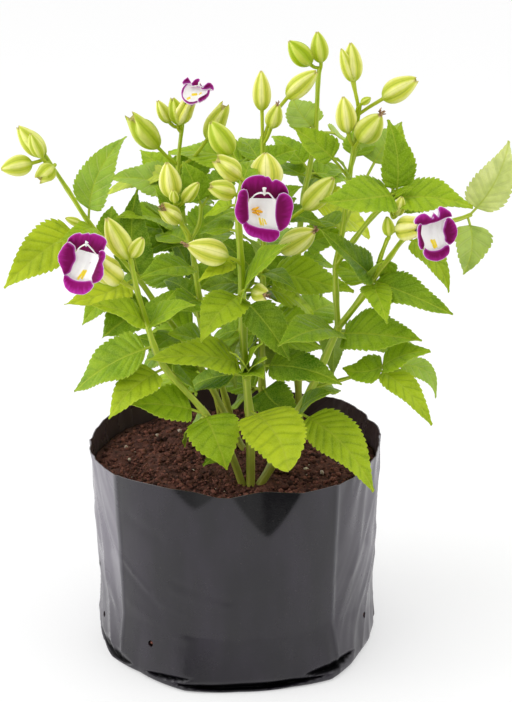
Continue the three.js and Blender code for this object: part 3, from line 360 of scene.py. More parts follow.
# The blooms. The stalk leaves a joint of an axis of a stem and ends at the calyx's base. In degrees, turn is
# to the viewer's right, lift is upwards, roll is clockwise; width is the bloom's own. Outlines are (u, v).
# A lobe spans from its inner to its outer edge, which lie at two heights out of the bloom's face, in bloom
# widths; shade is 0 for deep purple and 1 for magenta. The floor spans from its left to its right edge.
# A streak is a line and its half width. Seat is how far the stamens lie forward, in bloom widths.
BLOOMS = [
    {
        "name": "left",
        "from": ("stem_left", 0, 6),
        "base": (120, 281, -50),
        "throat": (84.5, 251.5, -66),
        "turn": -20, "lift": 6, "roll": 2,
        "width": 24.4,
        "lobes": [
            {
                "heights": (-0.2, -0.07), "shade": 0.3,
                "inner": [
                    (68, 244), (73, 248), (79, 252), (84, 254), (90, 256), (95, 257), (99, 255),
                    (103, 252),
                ],
                "outer": [
                    (66.5, 242), (68.5, 237.9), (73.6, 234), (79.7, 232.8), (81.7, 234), (88.4, 232.8),
                    (89.4, 234.2), (93.5, 233.3), (98.6, 234.8), (104.2, 237.6), (106.5, 242.4),
                    (105.2, 246.5), (103.7, 250.6),
                ],
            },
            {
                "heights": (-0.03, 0.04), "shade": 0.45,
                "inner": [
                    (69.5, 241.8), (74.6, 246.5), (75, 252), (75.8, 259.5), (72.6, 266), (70.4, 272),
                    (66, 275),
                ],
                "outer": [
                    (67, 241.7), (62, 247), (58, 254.5), (57.5, 260.5), (60, 266), (61.8, 271),
                    (63.5, 274.8),
                ],
            },
            {
                "heights": (-0.02, 0.04), "shade": 0.35,
                "inner": [
                    (99.4, 251.8), (98.5, 255), (98.1, 259.3), (95.5, 266.4), (93, 272.6), (91.2, 277.7),
                    (93, 283),
                ],
                "outer": [
                    (99.6, 251), (102.1, 250.1), (105.2, 253.7), (104.7, 259.3), (102.4, 263.4),
                    (103.4, 268.5), (103.2, 275.1), (99.6, 281.2), (94, 283.8),
                ],
            },
            {
                "heights": (0, 0.03), "shade": 1,
                "inner": [
                    (65, 274.6), (68.5, 276), (71.5, 278.6), (76.6, 280.6), (83.8, 281), (89.9, 280.6),
                    (92.6, 283),
                ],
                "outer": [
                    (63.6, 276), (62.9, 281.2), (65.4, 288.4), (69.5, 292.4), (75.1, 294.2), (82.8, 295),
                    (88.9, 291.9), (93, 286.8), (93.2, 284.3),
                ],
            },
        ],
        "floor": [
            [(78, 249), (74.2, 255), (74, 262), (70.4, 269), (66, 275.6), (70, 283)],
            [(98, 254.5), (98.8, 262), (96, 270), (93, 278), (92.8, 282), (90, 287)],
        ],
        "streaks": [((84, 270.8), (78.2, 278.6), 1.6), ((86, 270.8), (82, 278.2), 1.4)],
        "arch": [
            (77.8, 249.4), (81, 246.6), (84.8, 244.6), (87.2, 244.4), (89.8, 247), (93, 250.4),
            (96.4, 254.8),
        ],
        "head": [(86.2, 246.5), (86.4, 243), (87.3, 241.4)],
        "seat": 0,
    },
    {
        "name": "centre",
        "from": ("stem_centre", 0, 8),
        "base": (247, 203, -32),
        "throat": (263.5, 196.5, -52),
        "turn": 2, "lift": 4, "roll": 0,
        "width": 27.2,
        "lobes": [
            {
                "heights": (-0.2, -0.07), "shade": 0.15,
                "inner": [
                    (242.5, 192), (247, 198), (253.7, 201), (262.5, 202), (272.5, 201.4), (281, 198.6),
                    (288, 195.3),
                ],
                "outer": [
                    (241, 189.2), (241.5, 185.4), (244, 181), (248.2, 177.6), (253.7, 175.6),
                    (259.2, 174.9), (263.6, 175.6), (265.3, 176.8), (268.1, 176.5), (270.6, 178.5),
                    (272.5, 181.3), (274.7, 179.6), (278, 179.9), (282.4, 182.6), (286.3, 186.5),
                    (288.5, 191.5), (288.9, 193.7),
                ],
            },
            {
                "heights": (-0.03, 0.05), "shade": 0.35,
                "inner": [
                    (247, 189.9), (248.6, 195.3), (248.4, 203.1), (248.9, 211.9), (249, 219),
                    (246.5, 222.4),
                ],
                "outer": [
                    (244, 188.9), (239.9, 190.9), (237.7, 195.3), (237.1, 199.8), (235.8, 204.2),
                    (234.6, 209.7), (235.1, 215.2), (237.7, 220.8), (241.8, 224.8),
                ],
            },
            {
                "heights": (-0.03, 0.05), "shade": 0.3,
                "inner": [
                    (277, 197.7), (276.1, 200.9), (275.3, 207.5), (275, 215.2), (275.8, 221.9),
                    (278, 229.5),
                ],
                "outer": [
                    (279, 194.4), (284.1, 192.9), (289.1, 195.3), (292.4, 199.8), (293.7, 206.4),
                    (292.4, 213), (291.3, 218.5), (288.5, 225.2), (283.5, 230.2), (280.2, 231.8),
                ],
            },
            {
                "heights": (0, 0.03), "shade": 0.9,
                "inner": [
                    (243.6, 223), (246.6, 221.6), (249.6, 224.1), (257, 226.8), (265.9, 228.5),
                    (274.7, 229.4), (279, 230.5),
                ],
                "outer": [
                    (242.6, 224.1), (243.5, 227.9), (247.1, 234), (252.6, 237.3), (258.1, 238.4),
                    (263.6, 241.8), (270.3, 242.6), (275.8, 240.7), (279.5, 236.2), (279.9, 231.8),
                ],
            },
        ],
        "floor": [
            [(249.8, 198.1), (247.8, 205.3), (247, 216.3), (246.5, 224.3), (250, 231)],
            [(275.5, 198.6), (276.5, 207.5), (276.3, 220.8), (278.6, 230), (277, 234)],
        ],
        "streaks": [
            ((259.6, 218.5), (261, 224.4), 1.4), ((262.4, 218.6), (263.4, 225.2), 0.9),
            ((264.2, 219.6), (266, 223.8), 1),
        ],
        "arch": [
            (251.6, 198), (255.4, 194.6), (260, 192.9), (264.4, 193.4), (268.4, 193.2), (271.4, 195.9),
            (274, 199.4),
        ],
        "head": [(264.4, 195.6), (264.3, 190.5), (264.5, 187.2)],
        "seat": 0,
    },
    {
        "name": "right",
        "from": ("stem_right", 5, 2),
        "base": (396, 230, -40),
        "throat": (434.3, 225, -54),
        "turn": 20, "lift": 2, "roll": -4,
        "width": 22.4,
        "lobes": [
            {
                "heights": (0, -0.04), "shade": 0.45,
                "inner": [
                    (414.5, 224), (419, 225), (425, 225.5), (430, 224), (436, 222.5), (441, 220.5),
                    (446, 218), (451, 217),
                ],
                "outer": [
                    (413.5, 222), (414.6, 219.3), (418.2, 215.7), (421.8, 213.9), (425.4, 213.5),
                    (428.9, 215.7), (432.2, 218), (433.2, 212.4), (436.8, 215.3), (437.9, 216.5),
                    (438.4, 212), (438.1, 208.8), (440.5, 206.5), (445, 207.9), (450.4, 211.7),
                    (452.4, 215.7),
                ],
            },
            {
                "heights": (0, 0.04), "shade": 0.1,
                "inner": [
                    (422.2, 224.2), (421.9, 228.2), (421.4, 233.6), (422.8, 238), (424.6, 243),
                    (424.7, 246), (423, 249.5),
                ],
                "outer": [
                    (420.2, 223.6), (418.2, 226), (417.5, 231.3), (418, 238), (418.6, 244.7),
                    (420.4, 249.6),
                ],
            },
            {
                "heights": (-0.03, 0.05), "shade": 0.25,
                "inner": [
                    (444.6, 220), (443.9, 225.5), (442.8, 230.4), (444.6, 236.7), (445, 241.2),
                    (448.6, 244.6),
                ],
                "outer": [
                    (445.4, 219), (448.6, 217.5), (452.6, 219.3), (455.7, 223.8), (457.9, 229.6),
                    (457.1, 236.7), (454.4, 241.6), (450.4, 245),
                ],
            },
            {
                "heights": (0, 0.03), "shade": 0.5,
                "inner": [
                    (425, 247.5), (429, 250), (435.1, 250.6), (441.1, 248.8), (444.5, 245.8),
                    (448, 244.4),
                ],
                "outer": [
                    (423.9, 249.8), (423.6, 254.5), (428.2, 259.7), (436.8, 261.4), (444.5, 258.8),
                    (449.7, 252.8), (450.1, 247.7), (448.6, 244.8),
                ],
            },
        ],
        "floor": [
            [(420.5, 222), (420.3, 230), (421.5, 239), (423, 246), (428, 254)],
            [(447, 217), (445.5, 226), (444.5, 234), (446.5, 242), (446, 250)],
        ],
        "streaks": [((431.4, 240.4), (434.4, 247.4), 1.6), ((434, 240.2), (436.4, 246.6), 1.4)],
        "arch": [(421, 223), (424, 219), (429, 217), (433, 216.8), (437, 216.6), (442, 217), (446, 219)],
        "head": [(433, 219), (433, 215.5), (433.2, 213.6)],
        "seat": -0.12,
    },
    {
        "name": "top",
        "from": ("stem_back_left", 0, 7),
        "base": (178, 124, 24),
        "throat": (195.5, 87.5, 12),
        "turn": 12, "lift": 50, "roll": -4,
        "width": 17,
        "lobes": [
            {
                "heights": (0, 0.06), "shade": 0.4,
                "inner": [(183.3, 84.9), (185.8, 83.7), (188.9, 83.6), (191.4, 85)],
                "outer": [
                    (181.8, 82.8), (183, 80.7), (185.1, 78.6), (187.9, 77.2), (190.4, 80.7),
                    (191.6, 83.6),
                ],
            },
            {
                "heights": (-0.05, 0), "shade": 0.5,
                "inner": [(190.6, 83.6), (192.8, 86.6), (195.3, 86.6), (197.7, 87.4), (200.2, 87.8)],
                "outer": [
                    (191, 83), (192.5, 82.1), (194.2, 79.6), (198.1, 78.2), (200, 78.9), (199.6, 81.8),
                    (200.4, 85),
                ],
            },
            {
                "heights": (-0.03, 0.06), "shade": 0.2,
                "inner": [
                    (199.6, 85), (200.4, 87.6), (202.3, 89.4), (206.1, 89.7), (209.6, 89.4),
                    (211.4, 90.6),
                ],
                "outer": [
                    (200.5, 82.5), (202.6, 86), (205.4, 84.2), (207.9, 82.5), (210.7, 82.5),
                    (212.8, 84.6), (214.2, 88.4), (212.8, 90.9),
                ],
            },
            {
                "heights": (0, 0.02), "shade": 0,
                "inner": [
                    (188.4, 84.4), (185.4, 87.7), (183.7, 91.6), (183, 95.8), (185.3, 99.4),
                    (188.4, 101.4), (192.5, 101.9), (197.4, 100.5),
                ],
                "outer": [
                    (185.8, 84), (182.3, 87.7), (181.1, 92.3), (181.6, 96.8), (184, 101.1),
                    (187.5, 103.5), (192.5, 104.2), (198, 102.6),
                ],
            },
            {
                "heights": (0, 0.02), "shade": 0.05,
                "inner": [
                    (207.2, 90.5), (206.5, 93.3), (203, 95.4), (199.1, 97.5), (197.9, 98.9), (198, 102),
                ],
                "outer": [(210.4, 90), (209.6, 93.7), (208.2, 96.5), (204.4, 100), (199.5, 102.6)],
            },
        ],
        "floor": [
            [(187.5, 83.5), (184.6, 88.5), (183.2, 94), (185, 99.5), (188.5, 102.4)],
            [(209, 88.8), (207.6, 92), (204.5, 96), (200.5, 99), (199, 102.4)],
        ],
        "streaks": [
            ((192.6, 94.8), (196.2, 94.5), 1.6), ((187.6, 99), (189.6, 98), 1.4),
            ((199.4, 94.4), (201.2, 93), 0.8),
        ],
        "arch": [
            (190, 87), (192.4, 86.4), (195.5, 86), (198.6, 85.8), (201, 86.6), (203.5, 87.6), (206, 89),
        ],
        "head": [(198.6, 86.6), (199, 84.2), (199.6, 82.6)],
        "seat": 0,
    },
]


def unit(vector):
    return vector / np.linalg.norm(vector)


def between(low, high, share):
    return low + (high - low) * share


def smooth(low, high, value):
    share = np.clip((value - low) / (high - low), 0, 1)
    return share * share * (3 - 2 * share)


def seen(u, v, depth):
    """The point at a depth behind the bag's axis that shows at a pixel of the photograph."""
    right = (u - PHOTO_WIDTH / 2) / FOCAL_PIXELS
    up = (PHOTO_HEIGHT / 2 - v) / FOCAL_PIXELS
    ray = np.array([
        right,
        math.cos(PITCH) + up * math.sin(PITCH),
        up * math.cos(PITCH) - math.sin(PITCH),
    ])
    return EYE + ray * (depth - EYE[1]) / ray[1]


def spline(points, steps):
    """A Catmull-Rom curve through the points, with this many steps to each stretch."""
    p = np.asarray(points, float)
    padded = np.vstack([2 * p[0] - p[1], p, 2 * p[-1] - p[-2]])
    t = np.arange(steps)[:, None] / steps
    stretches = []
    for a, b, c, d in zip(padded, padded[1:], padded[2:], padded[3:]):
        bend = 2 * a - 5 * b + 4 * c - d
        twist = 3 * b - a - 3 * c + d
        stretches.append(0.5 * (2 * b + (c - a) * t + bend * t**2 + twist * t**3))
    return np.vstack([*stretches, p[-1:]])


def evenly(points, count):
    """The same polyline as this many points at even distances."""
    steps = np.linalg.norm(np.diff(points, axis=0), axis=1)
    run = np.concatenate([[0], np.cumsum(steps)])
    at = np.linspace(0, run[-1], count)
    return np.stack([np.interp(at, run, points[:, k]) for k in range(points.shape[1])], 1)


def turns(count):
    """Angles at even distances all the way round."""
    return 2 * np.pi * np.arange(count) / count


def placed(name, data):
    """A new object in the scene."""
    thing = bpy.data.objects.new(name, data)
    bpy.context.scene.collection.objects.link(thing)
    return thing


class Pile:
    """The points, faces and per-point numbers of many closed solids that become one mesh."""

    def __init__(self):
        self.points = []
        self.faces = []
        self.numbers = {}
        self.count = 0

    def add(self, points, faces, **numbers):
        self.points.append(points)
        self.faces += [[k + self.count for k in face] for face in faces]
        for name, values in numbers.items():
            column = np.broadcast_to(values, len(points))
            self.numbers.setdefault(name, []).append(column)
        self.count += len(points)

    def add_sheet(self, upper, lower, back="under", kept=None, wrap=False, **numbers):
        """A closed sheet between two grids of points. The number named by back is 1 on the lower one."""
        rows, columns = upper.shape[:2]
        points = np.vstack([upper.reshape(-1, 3), lower.reshape(-1, 3)])
        faces = sheet_faces(rows, columns, kept, wrap)
        for name, values in numbers.items():
            numbers[name] = np.tile(np.broadcast_to(values, (rows, columns)).reshape(-1), 2)
        numbers[back] = np.repeat([0.0, 1.0], rows * columns)
        self.add(points, faces, **numbers)

    def mesh_object(self, name, material, sharp=50):
        mesh = bpy.data.meshes.new(name)
        mesh.from_pydata((np.vstack(self.points) / 1000).tolist(), [], self.faces)
        face_outwards(mesh)
        mesh.shade_smooth()
        mesh.set_sharp_from_angle(angle=math.radians(sharp))
        for label, columns in self.numbers.items():
            layer = mesh.attributes.new(label, "FLOAT", "POINT")
            layer.data.foreach_set("value", np.concatenate(columns).astype(np.float32))
        mesh.materials.append(material)
        piece = placed(name, mesh)
        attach(piece, "root")
        return piece


def face_outwards(mesh):
    work = bmesh.new()
    work.from_mesh(mesh)
    bmesh.ops.recalc_face_normals(work, faces=work.faces)
    work.to_mesh(mesh)
    work.free()


def sheet_faces(rows, columns, kept=None, wrap=False):
    """Faces of a closed sheet: an upper grid, the lower grid after it, and a strip along every open edge."""
    across = columns if wrap else columns - 1
    kept = np.ones((rows - 1, across), bool) if kept is None else kept
    i, j = np.nonzero(kept)
    k = (j + 1) % columns
    upper = np.stack([i * columns + j, i * columns + k, (i + 1) * columns + k, (i + 1) * columns + j], 1)
    lower = upper[:, ::-1] + rows * columns
    around = np.pad(kept, 1)
    if wrap:
        around[:, 0] = around[:, -2]
        around[:, -1] = around[:, 1]
    strips = []
    for side, (di, dj) in enumerate([(-1, 0), (0, 1), (1, 0), (0, -1)]):
        is_open = ~around[i + 1 + di, j + 1 + dj]
        p = upper[is_open, side]
        q = upper[is_open, (side + 1) % 4]
        strips.append(np.stack([q, p, p + rows * columns, q + rows * columns], 1))
    return np.concatenate([upper, lower, *strips]).tolist()


def loft(rings):
    """Points and faces of a closed skin over rings of equally many points, with flat ends."""
    rings = np.asarray(rings)
    count, around = rings.shape[:2]
    i, j = np.indices((count - 1, around)).reshape(2, -1)
    k = (j + 1) % around
    faces = np.stack([i * around + j, i * around + k, (i + 1) * around + k, (i + 1) * around + j], 1)
    first = list(range(around))
    last = [(count - 1) * around + m for m in first]
    return rings.reshape(-1, 3), [*faces.tolist(), first, last]


def sideways_of(way):
    """A direction that a tube going this way never runs along."""
    along = unit(way)
    return unit(np.array([1, -0.33, 0])) if abs(along[2]) > 0.7 else np.array([0.0, 0.0, 1.0])


def rings_along(path, radii, around, reference):
    """Rings across a path. The radii are a number, one for each ring, or one for each point of each ring."""
    path = np.asarray(path, float)
    along = np.gradient(path, axis=0)
    along /= np.linalg.norm(along, axis=1)[:, None]
    u = reference - along * (along @ reference)[:, None]
    u /= np.linalg.norm(u, axis=1)[:, None]
    v = np.cross(along, u)
    angle = turns(around)[:, None]
    circle = u[:, None] * np.cos(angle) + v[:, None] * np.sin(angle)
    radii = np.atleast_1d(radii).reshape(len(np.atleast_1d(radii)), -1)
    return path[:, None] + circle * np.broadcast_to(radii, (len(path), around))[..., None]


# Colours and shaders. A colour is (red, green, blue) as 0 to 255 values that show on a screen.


def linear(shown):
    shown = np.array(shown) / 255
    light = np.where(shown <= 0.04045, shown / 12.92, ((shown + 0.055) / 1.055) ** 2.4)
    return (*light.tolist(), 1)


class Nodes:
    """Short calls that add nodes to a node tree. A value is a socket, a number or a colour."""

    def __init__(self, tree):
        self.tree = tree

    def plug(self, socket, value):
        if isinstance(value, bpy.types.NodeSocket):
            self.tree.links.new(value, socket)
        else:
            socket.default_value = linear(value) if isinstance(value, tuple) else value

    def node(self, kind, *values, **settings):
        node = self.tree.nodes.new("ShaderNode" + kind)
        for name, setting in settings.items():
            setattr(node, name, setting)
        for socket, value in zip(node.inputs, values):
            self.plug(socket, value)
        return node

    def number(self, name):
        return self.node("Attribute", attribute_name=name).outputs["Fac"]

    def place(self, space):
        return self.node("TexCoord").outputs[space]

    def math(self, operation, *values):
        return self.node("Math", *values, operation=operation).outputs[0]

    def times(self, a, b):
        return self.math("MULTIPLY", a, b)

    def fade(self, value, low, high, to_low=0.0, to_high=1.0):
        """Goes smoothly from one number to another while the value goes from low to high."""
        limits = (value, low, high, to_low, to_high)
        return self.node("MapRange", *limits, interpolation_type="SMOOTHSTEP").outputs[0]


class Finish(Nodes):
    """A Principled material."""

    def __init__(self, name, **sockets):
        self.material = bpy.data.materials.new(name)
        self.material.use_nodes = True
        super().__init__(self.material.node_tree)
        self.shader = self.tree.nodes["Principled BSDF"].inputs
        for socket, value in sockets.items():
            self.shader[socket.replace("_", " ")].default_value = value

    def mix(self, share, a, b):
        node = self.node("Mix", data_type="RGBA")
        for socket, value in (("Factor", share), (6, a), (7, b)):
            self.plug(node.inputs[socket], value)
        return node.outputs[2]

    def paint(self, under, *layers):
        """Lays colours over one another. A layer is (where it shows, how strongly, its colour)."""
        for share, strength, over in layers:
            under = self.mix(self.times(share, strength), under, over)
        return under

    def noise(self, scale, detail=3.0, stretch=None, where=None):
        node = self.node("TexNoise")
        node.inputs["Scale"].default_value = scale
        node.inputs["Detail"].default_value = detail
        source = where or self.place("Object")
        if stretch:
            mapping = self.node("Mapping", source)
            mapping.inputs["Scale"].default_value = stretch
            source = mapping.outputs[0]
        self.plug(node.inputs["Vector"], source)
        return node.outputs["Fac"]

    def wander(self, scale, detail, reach):
        """Noise around 0."""
        return self.times(self.math("SUBTRACT", self.noise(scale, detail), 0.5), reach)

    def bump(self, height, distance, strength=1.0):
        """Fine relief, on top of any that was added before."""
        node = self.node("Bump")
        node.inputs["Strength"].default_value = strength
        node.inputs["Distance"].default_value = distance
        self.plug(node.inputs["Height"], height)
        normal = self.shader["Normal"]
        if normal.is_linked:
            self.plug(node.inputs["Normal"], normal.links[0].from_socket)
        self.plug(normal, node.outputs[0])

    def drive(self, socket, value):
        self.plug(self.shader[socket], value)


def leaf_finish():
    f = Finish(
        "leaf_blade",
        Specular_IOR_Level=0.15,
        Subsurface_Weight=0.12,
        Subsurface_Scale=0.002,
        Subsurface_Radius=(0.8, 1.0, 0.1),
    )
    tone = f.number("tone")
    across = f.math("ABSOLUTE", f.number("across"))
    vein = f.math("ADD", f.number("vein"), f.wander(150, 2, 0.12))
    to_vein = f.math("ABSOLUTE", f.math("SUBTRACT", vein, f.math("ROUND", vein)))
    inside = f.fade(across, 0.75, 0.97, 1.0, 0.0)
    # The vein lines: on green leaves dark, painted shade in the sunken veins; on pale leaves pale, the
    # veins' own colour
    groove = f.mix(f.fade(tone, 0.9, 1.3), (62, 104, 0), (220, 226, 150))
    green = f.paint(
        f.mix(f.fade(tone, 0.0, 0.5), (64, 109, 0), (137, 171, 14)),
        (f.fade(tone, 0.45, 1.0), 1, (196, 209, 38)),
        (f.fade(tone, 1.0, 1.6), 1, (226, 234, 158)),
        (f.fade(tone, 1.6, 2.2), 1, (148, 182, 66)),
        (f.fade(f.noise(70, 3), 0.35, 0.7), 0.36, (164, 188, 24)),
        (f.fade(f.noise(130, 4), 0.4, 0.72), 0.3, (58, 100, 0)),
        # painted shade: darker green beside the veins, where the quilted blade dips
        (f.times(f.fade(to_vein, 0.04, 0.22, 1.0, 0.0), inside), 0.16, (58, 96, 0)),
        # the vein lines: painted shade on green leaves, the veins' own pale colour on pale leaves
        (f.times(f.fade(to_vein, 0.02, 0.07, 1.0, 0.0), inside), 0.2, groove),
        (f.fade(across, 0.93, 1.0), 0.32, (182, 202, 62)),
        (f.number("rib"), 0.7, (180, 194, 62)),
        (f.fade(f.noise(1500, 2), 0.35, 0.7), 0.22, (196, 212, 84)),
        (f.number("under"), 0.5, (158, 178, 78)),
    )
    f.drive("Base Color", green)
    f.drive("Roughness", f.fade(f.noise(300, 2), 0.3, 0.7, 0.42, 0.6))
    f.bump(f.noise(900, 3), 0.00022, 0.7)
    return f.material


def stalk_finish():
    f = Finish(
        "stem_skin",
        Roughness=0.45,
        Subsurface_Weight=0.1,
        Subsurface_Scale=0.002,
        Subsurface_Radius=(0.6, 1.0, 0.2),
    )
    skin = f.paint(
        f.mix(f.number("edge"), (168, 192, 18), (208, 216, 84)),
        (f.fade(f.noise(260, 3, stretch=(1, 1, 0.12)), 0.4, 0.7), 0.35, (120, 146, 20)),
        (f.number("old"), 0.7, (158, 154, 70)),
    )
    f.drive("Base Color", skin)
    f.bump(f.noise(900, 3, stretch=(1, 1, 0.25)), 0.00015, 0.6)
    return f.material


def calyx_finish():
    f = Finish(
        "calyx",
        Roughness=0.45,
        Specular_IOR_Level=0.3,
        Subsurface_Weight=0.15,
        Subsurface_Scale=0.002,
        Subsurface_Radius=(0.9, 1.0, 0.15),
    )
    along = f.number("along")
    rib = f.number("rib")
    tone = f.number("tone")
    ridge = f.fade(f.math("ADD", rib, f.wander(220, 3, 0.35)), 0.5, 1.0)
    panel = f.mix(tone, (168, 192, 16), (230, 229, 92))
    keel = f.mix(tone, (208, 218, 86), (255, 250, 170))
    # The grooves between the wings, strongest towards the base: partly their own deeper green, partly
    # painted shade in the hollows
    groove = f.times(f.fade(rib, 0.05, 0.3, 1.0, 0.0), f.fade(along, 0.7, 1.0, 1.0, 0.3))
    withered = f.mix(f.fade(f.noise(900, 2), 0.35, 0.65), (92, 54, 44), (196, 158, 118))
    skin = f.paint(
        f.mix(ridge, panel, keel),
        (f.times(f.fade(f.number("stripe"), 0.3, 0.0), tone), 0.5, (176, 186, 44)),
        # the grooves: their own deeper green and painted shade in the hollows
        (groove, 0.45, (150, 176, 8)),
        (f.fade(along, 0.0, 0.34, 1.0, 0.0), 0.6, (158, 180, 14)),
        (f.fade(f.noise(500, 3, stretch=(1, 1, 0.5)), 0.45, 0.75), 0.15, (160, 180, 40)),
        (f.times(f.number("dry"), f.fade(along, 0.94, 1.0)), 1, withered),
    )
    f.drive("Base Color", skin)
    f.bump(f.noise(1200, 3), 0.00012, 0.5)
    return f.material


def petal_finish():
    f = Finish(
        "petal_velvet",
        Roughness=0.6,
        Specular_IOR_Level=0.12,
        Subsurface_Weight=0.05,
        Subsurface_Scale=0.001,
        Subsurface_Radius=(1.0, 0.2, 0.5),
    )
    shade = f.number("shade")
    outwards = f.number("outwards")
    around = f.node("CombineXYZ", f.times(f.number("sideways"), 16), outwards, shade)
    streaks = f.math("SUBTRACT", f.noise(1, 3, where=around.outputs[0]), 0.5)
    reach = f.math("ADD", outwards, f.times(streaks, 0.9))
    wander = f.wander(420, 3, 0.3)
    root = f.math("ADD", f.number("root"), wander)
    rim = f.math("ADD", f.number("rim"), f.times(wander, 0.3))
    deep = f.mix(shade, (92, 0, 50), (142, 0, 104))
    light = f.mix(shade, (140, 2, 100), (188, 46, 164))
    velvet = f.paint(
        f.mix(f.fade(reach, 0.35, 1.0), deep, light),
        (f.fade(root, 0.04, 0.3, 1.0, 0.0), 1, (232, 206, 232)),
        (f.fade(rim, 0.25, 0.9, 0.5, 0.0), 1, (196, 70, 190)),
        (f.fade(rim, 0.05, 0.22, 1.0, 0.0), 1, (240, 222, 240)),
        (f.number("under"), 0.4, (190, 140, 190)),
    )
    f.drive("Base Color", velvet)
    f.bump(f.noise(1800, 2), 0.00012, 0.6)
    return f.material


def throat_finish():
    f = Finish(
        "throat",
        Roughness=0.5,
        Subsurface_Weight=0.15,
        Subsurface_Scale=0.002,
        Subsurface_Radius=(1.0, 1.0, 0.8),
    )
    patchy = f.fade(f.noise(900, 2), 0.25, 0.45, 0.6, 1.0)
    outside = f.mix(f.fade(f.noise(200, 3), 0.35, 0.65), (224, 216, 214), (190, 150, 194))
    white = f.paint(
        (255, 255, 250),
        (f.fade(f.noise(300, 3), 0.4, 0.7), 0.08, (240, 238, 232)),
        (f.times(f.number("yellow"), patchy), 1, (255, 224, 0)),
        (f.number("mouth"), 1, (84, 0, 56)),
        (f.number("tube"), 1, outside),
    )
    f.drive("Base Color", white)
    f.bump(f.noise(900, 3), 0.00015, 0.5)
    return f.material


def stamen_finish():
    f = Finish("stamen", Roughness=0.4, Subsurface_Weight=0.2, Subsurface_Scale=0.001)
    patches = f.fade(f.noise(900, 2), 0.35, 0.7)
    f.drive("Base Color", f.mix(patches, (250, 249, 246), (224, 222, 214)))
    f.bump(f.noise(2500, 2), 0.00008, 0.5)
    return f.material


def pollen_finish():
    f = Finish("pollen", Roughness=0.7)
    patches = f.fade(f.noise(2200, 3), 0.3, 0.7)
    f.drive("Base Color", f.mix(patches, (255, 204, 20), (226, 144, 4)))
    f.bump(f.noise(3500, 3), 0.0002, 0.8)
    return f.material


def soil_finish():
    f = Finish("potting_mix", Roughness=0.92, Specular_IOR_Level=0.25)
    mould = f.paint(
        f.mix(f.number("tone"), (44, 25, 22), (150, 96, 82)),
        (f.fade(f.noise(900, 4), 0.35, 0.7), 0.6, (58, 32, 24)),
        (f.fade(f.noise(1900, 3), 0.62, 0.74), 1, (140, 94, 72)),
    )
    f.drive("Base Color", mould)
    f.bump(f.noise(1600, 4), 0.0006, 0.9)
    return f.material


def perlite_finish():
    f = Finish("perlite", Roughness=0.85)
    patches = f.fade(f.noise(900, 3), 0.35, 0.7)
    f.drive("Base Color", f.mix(patches, (214, 202, 184), (168, 146, 124)))
    f.bump(f.noise(2000, 3), 0.0003, 0.8)
    return f.material


def film_finish():
    f = Finish("bag_film")
    facet = f.number("facet")
    pit = f.number("pit")
    scuff = f.fade(f.noise(60, 4, stretch=(1, 1, 0.4)), 0.35, 0.75)
    film = f.paint(
        f.mix(scuff, (18, 14, 23), (34, 28, 40)),
        # painted reflection: the drawn-in facets under the rim are painted near black, as they mirror the
        # dim room behind the viewer
        (facet, 1, (4, 3, 6)),
        # painted reflection: the side panels are painted light grey where they mirror the bright room
        (f.number("side"), 0.8, (124, 120, 129)),
        # painted highlight: a lighter line along each crease, where the folded edge catches the light
        (f.number("crease"), 0.6, (104, 104, 108)),
        # painted shade: the tucks under the foot are painted near black, and mirror less, as shade falls in
        # them
        (pit, 1, (3, 3, 4)),
        (f.fade(f.noise(1500, 2), 0.7, 0.78), 0.4, (120, 112, 106)),
        (f.number("inner"), 1, (80, 66, 69)),
    )
    # The painted dark facets and the painted shade in the tucks also mirror less
    gloss = f.math("SUBTRACT", 1, f.times(facet, 0.5))
    dull = f.math("MAXIMUM", pit, f.times(facet, 0.45))
    f.drive("Base Color", film)
    f.drive("Roughness", f.times(f.fade(f.noise(45, 4), 0.3, 0.7, 0.22, 0.4), gloss))
    f.drive("Specular IOR Level", f.fade(dull, 0.0, 1.0, 0.55, 0.05))
    f.bump(f.noise(70, 4, stretch=(1, 1, 0.3)), 0.0009, 0.3)
    f.bump(f.noise(2600, 2), 0.00004, 0.5)
    return f.material


# Leafy stems

AROUND_STEM = 16
PAST_LAST_JOINT = 0.06
SWELLING = 0.2
SWELLING_REACH = 3.2
RIDGES = 0.07
OLD_REACH = 60


class Axis:
    """One axis of a stem: its joints, and the next free place to grow something from at each of them."""

    def __init__(self, thick, path):
        self.thick = thick
        self.joints = [seen(*joint) for joint in path]
        self.used = [0] * len(path)

    def radius(self, share):
        return between(self.thick[0], self.thick[1], share) / 2

    def foot(self, k, towards):
        """Where something that grows from joint k towards a point starts, just inside the axis."""
        down = unit(self.joints[k - 1] - self.joints[k])
        joint = self.joints[k] + down * STAGGER * self.used[k]
        self.used[k] += 1
        return joint + unit(towards - joint) * 0.4 * self.radius(k / (len(self.joints) - 1))


def stem_axis(pile, axis, is_main):
    """A rounded square stem, swollen at its joints, with four pale ridges."""
    joints = axis.joints
    end = joints[-1] + (joints[-1] - joints[-2]) * PAST_LAST_JOINT
    path = spline([*joints, end], 6)
    radii = axis.radius(np.linspace(0, 1, len(path)))
    for joint in joints[1:]:
        near = np.linalg.norm(path - joint, axis=1)
        radii = radii * (1 + SWELLING * np.exp(-((near / SWELLING_REACH) ** 2)))
    old = np.clip(1 - (path[:, 2] - SOIL_TOP) / OLD_REACH, 0, 1)
    if is_main:
        path = np.vstack([path[0] - [0, 0, ROOTED], path])
        radii = np.concatenate([radii[:1], radii])
        old = np.concatenate([[1], old])
    corner = np.cos(4 * turns(AROUND_STEM))
    section = radii[:, None] * (1 + RIDGES * corner)
    rings = rings_along(path, section, AROUND_STEM, sideways_of(path[-1] - path[0]))
    edge = np.tile(np.clip(corner, 0, 1), len(path))
    pile.add(*loft(rings), edge=edge, old=np.repeat(old, AROUND_STEM))


# Leaves. A tooth is (share of its length, how far out). The columns run from edge to edge, with the midrib
# at 0. Groove and keel are the midrib's, above and below, and ripple is the edge's.

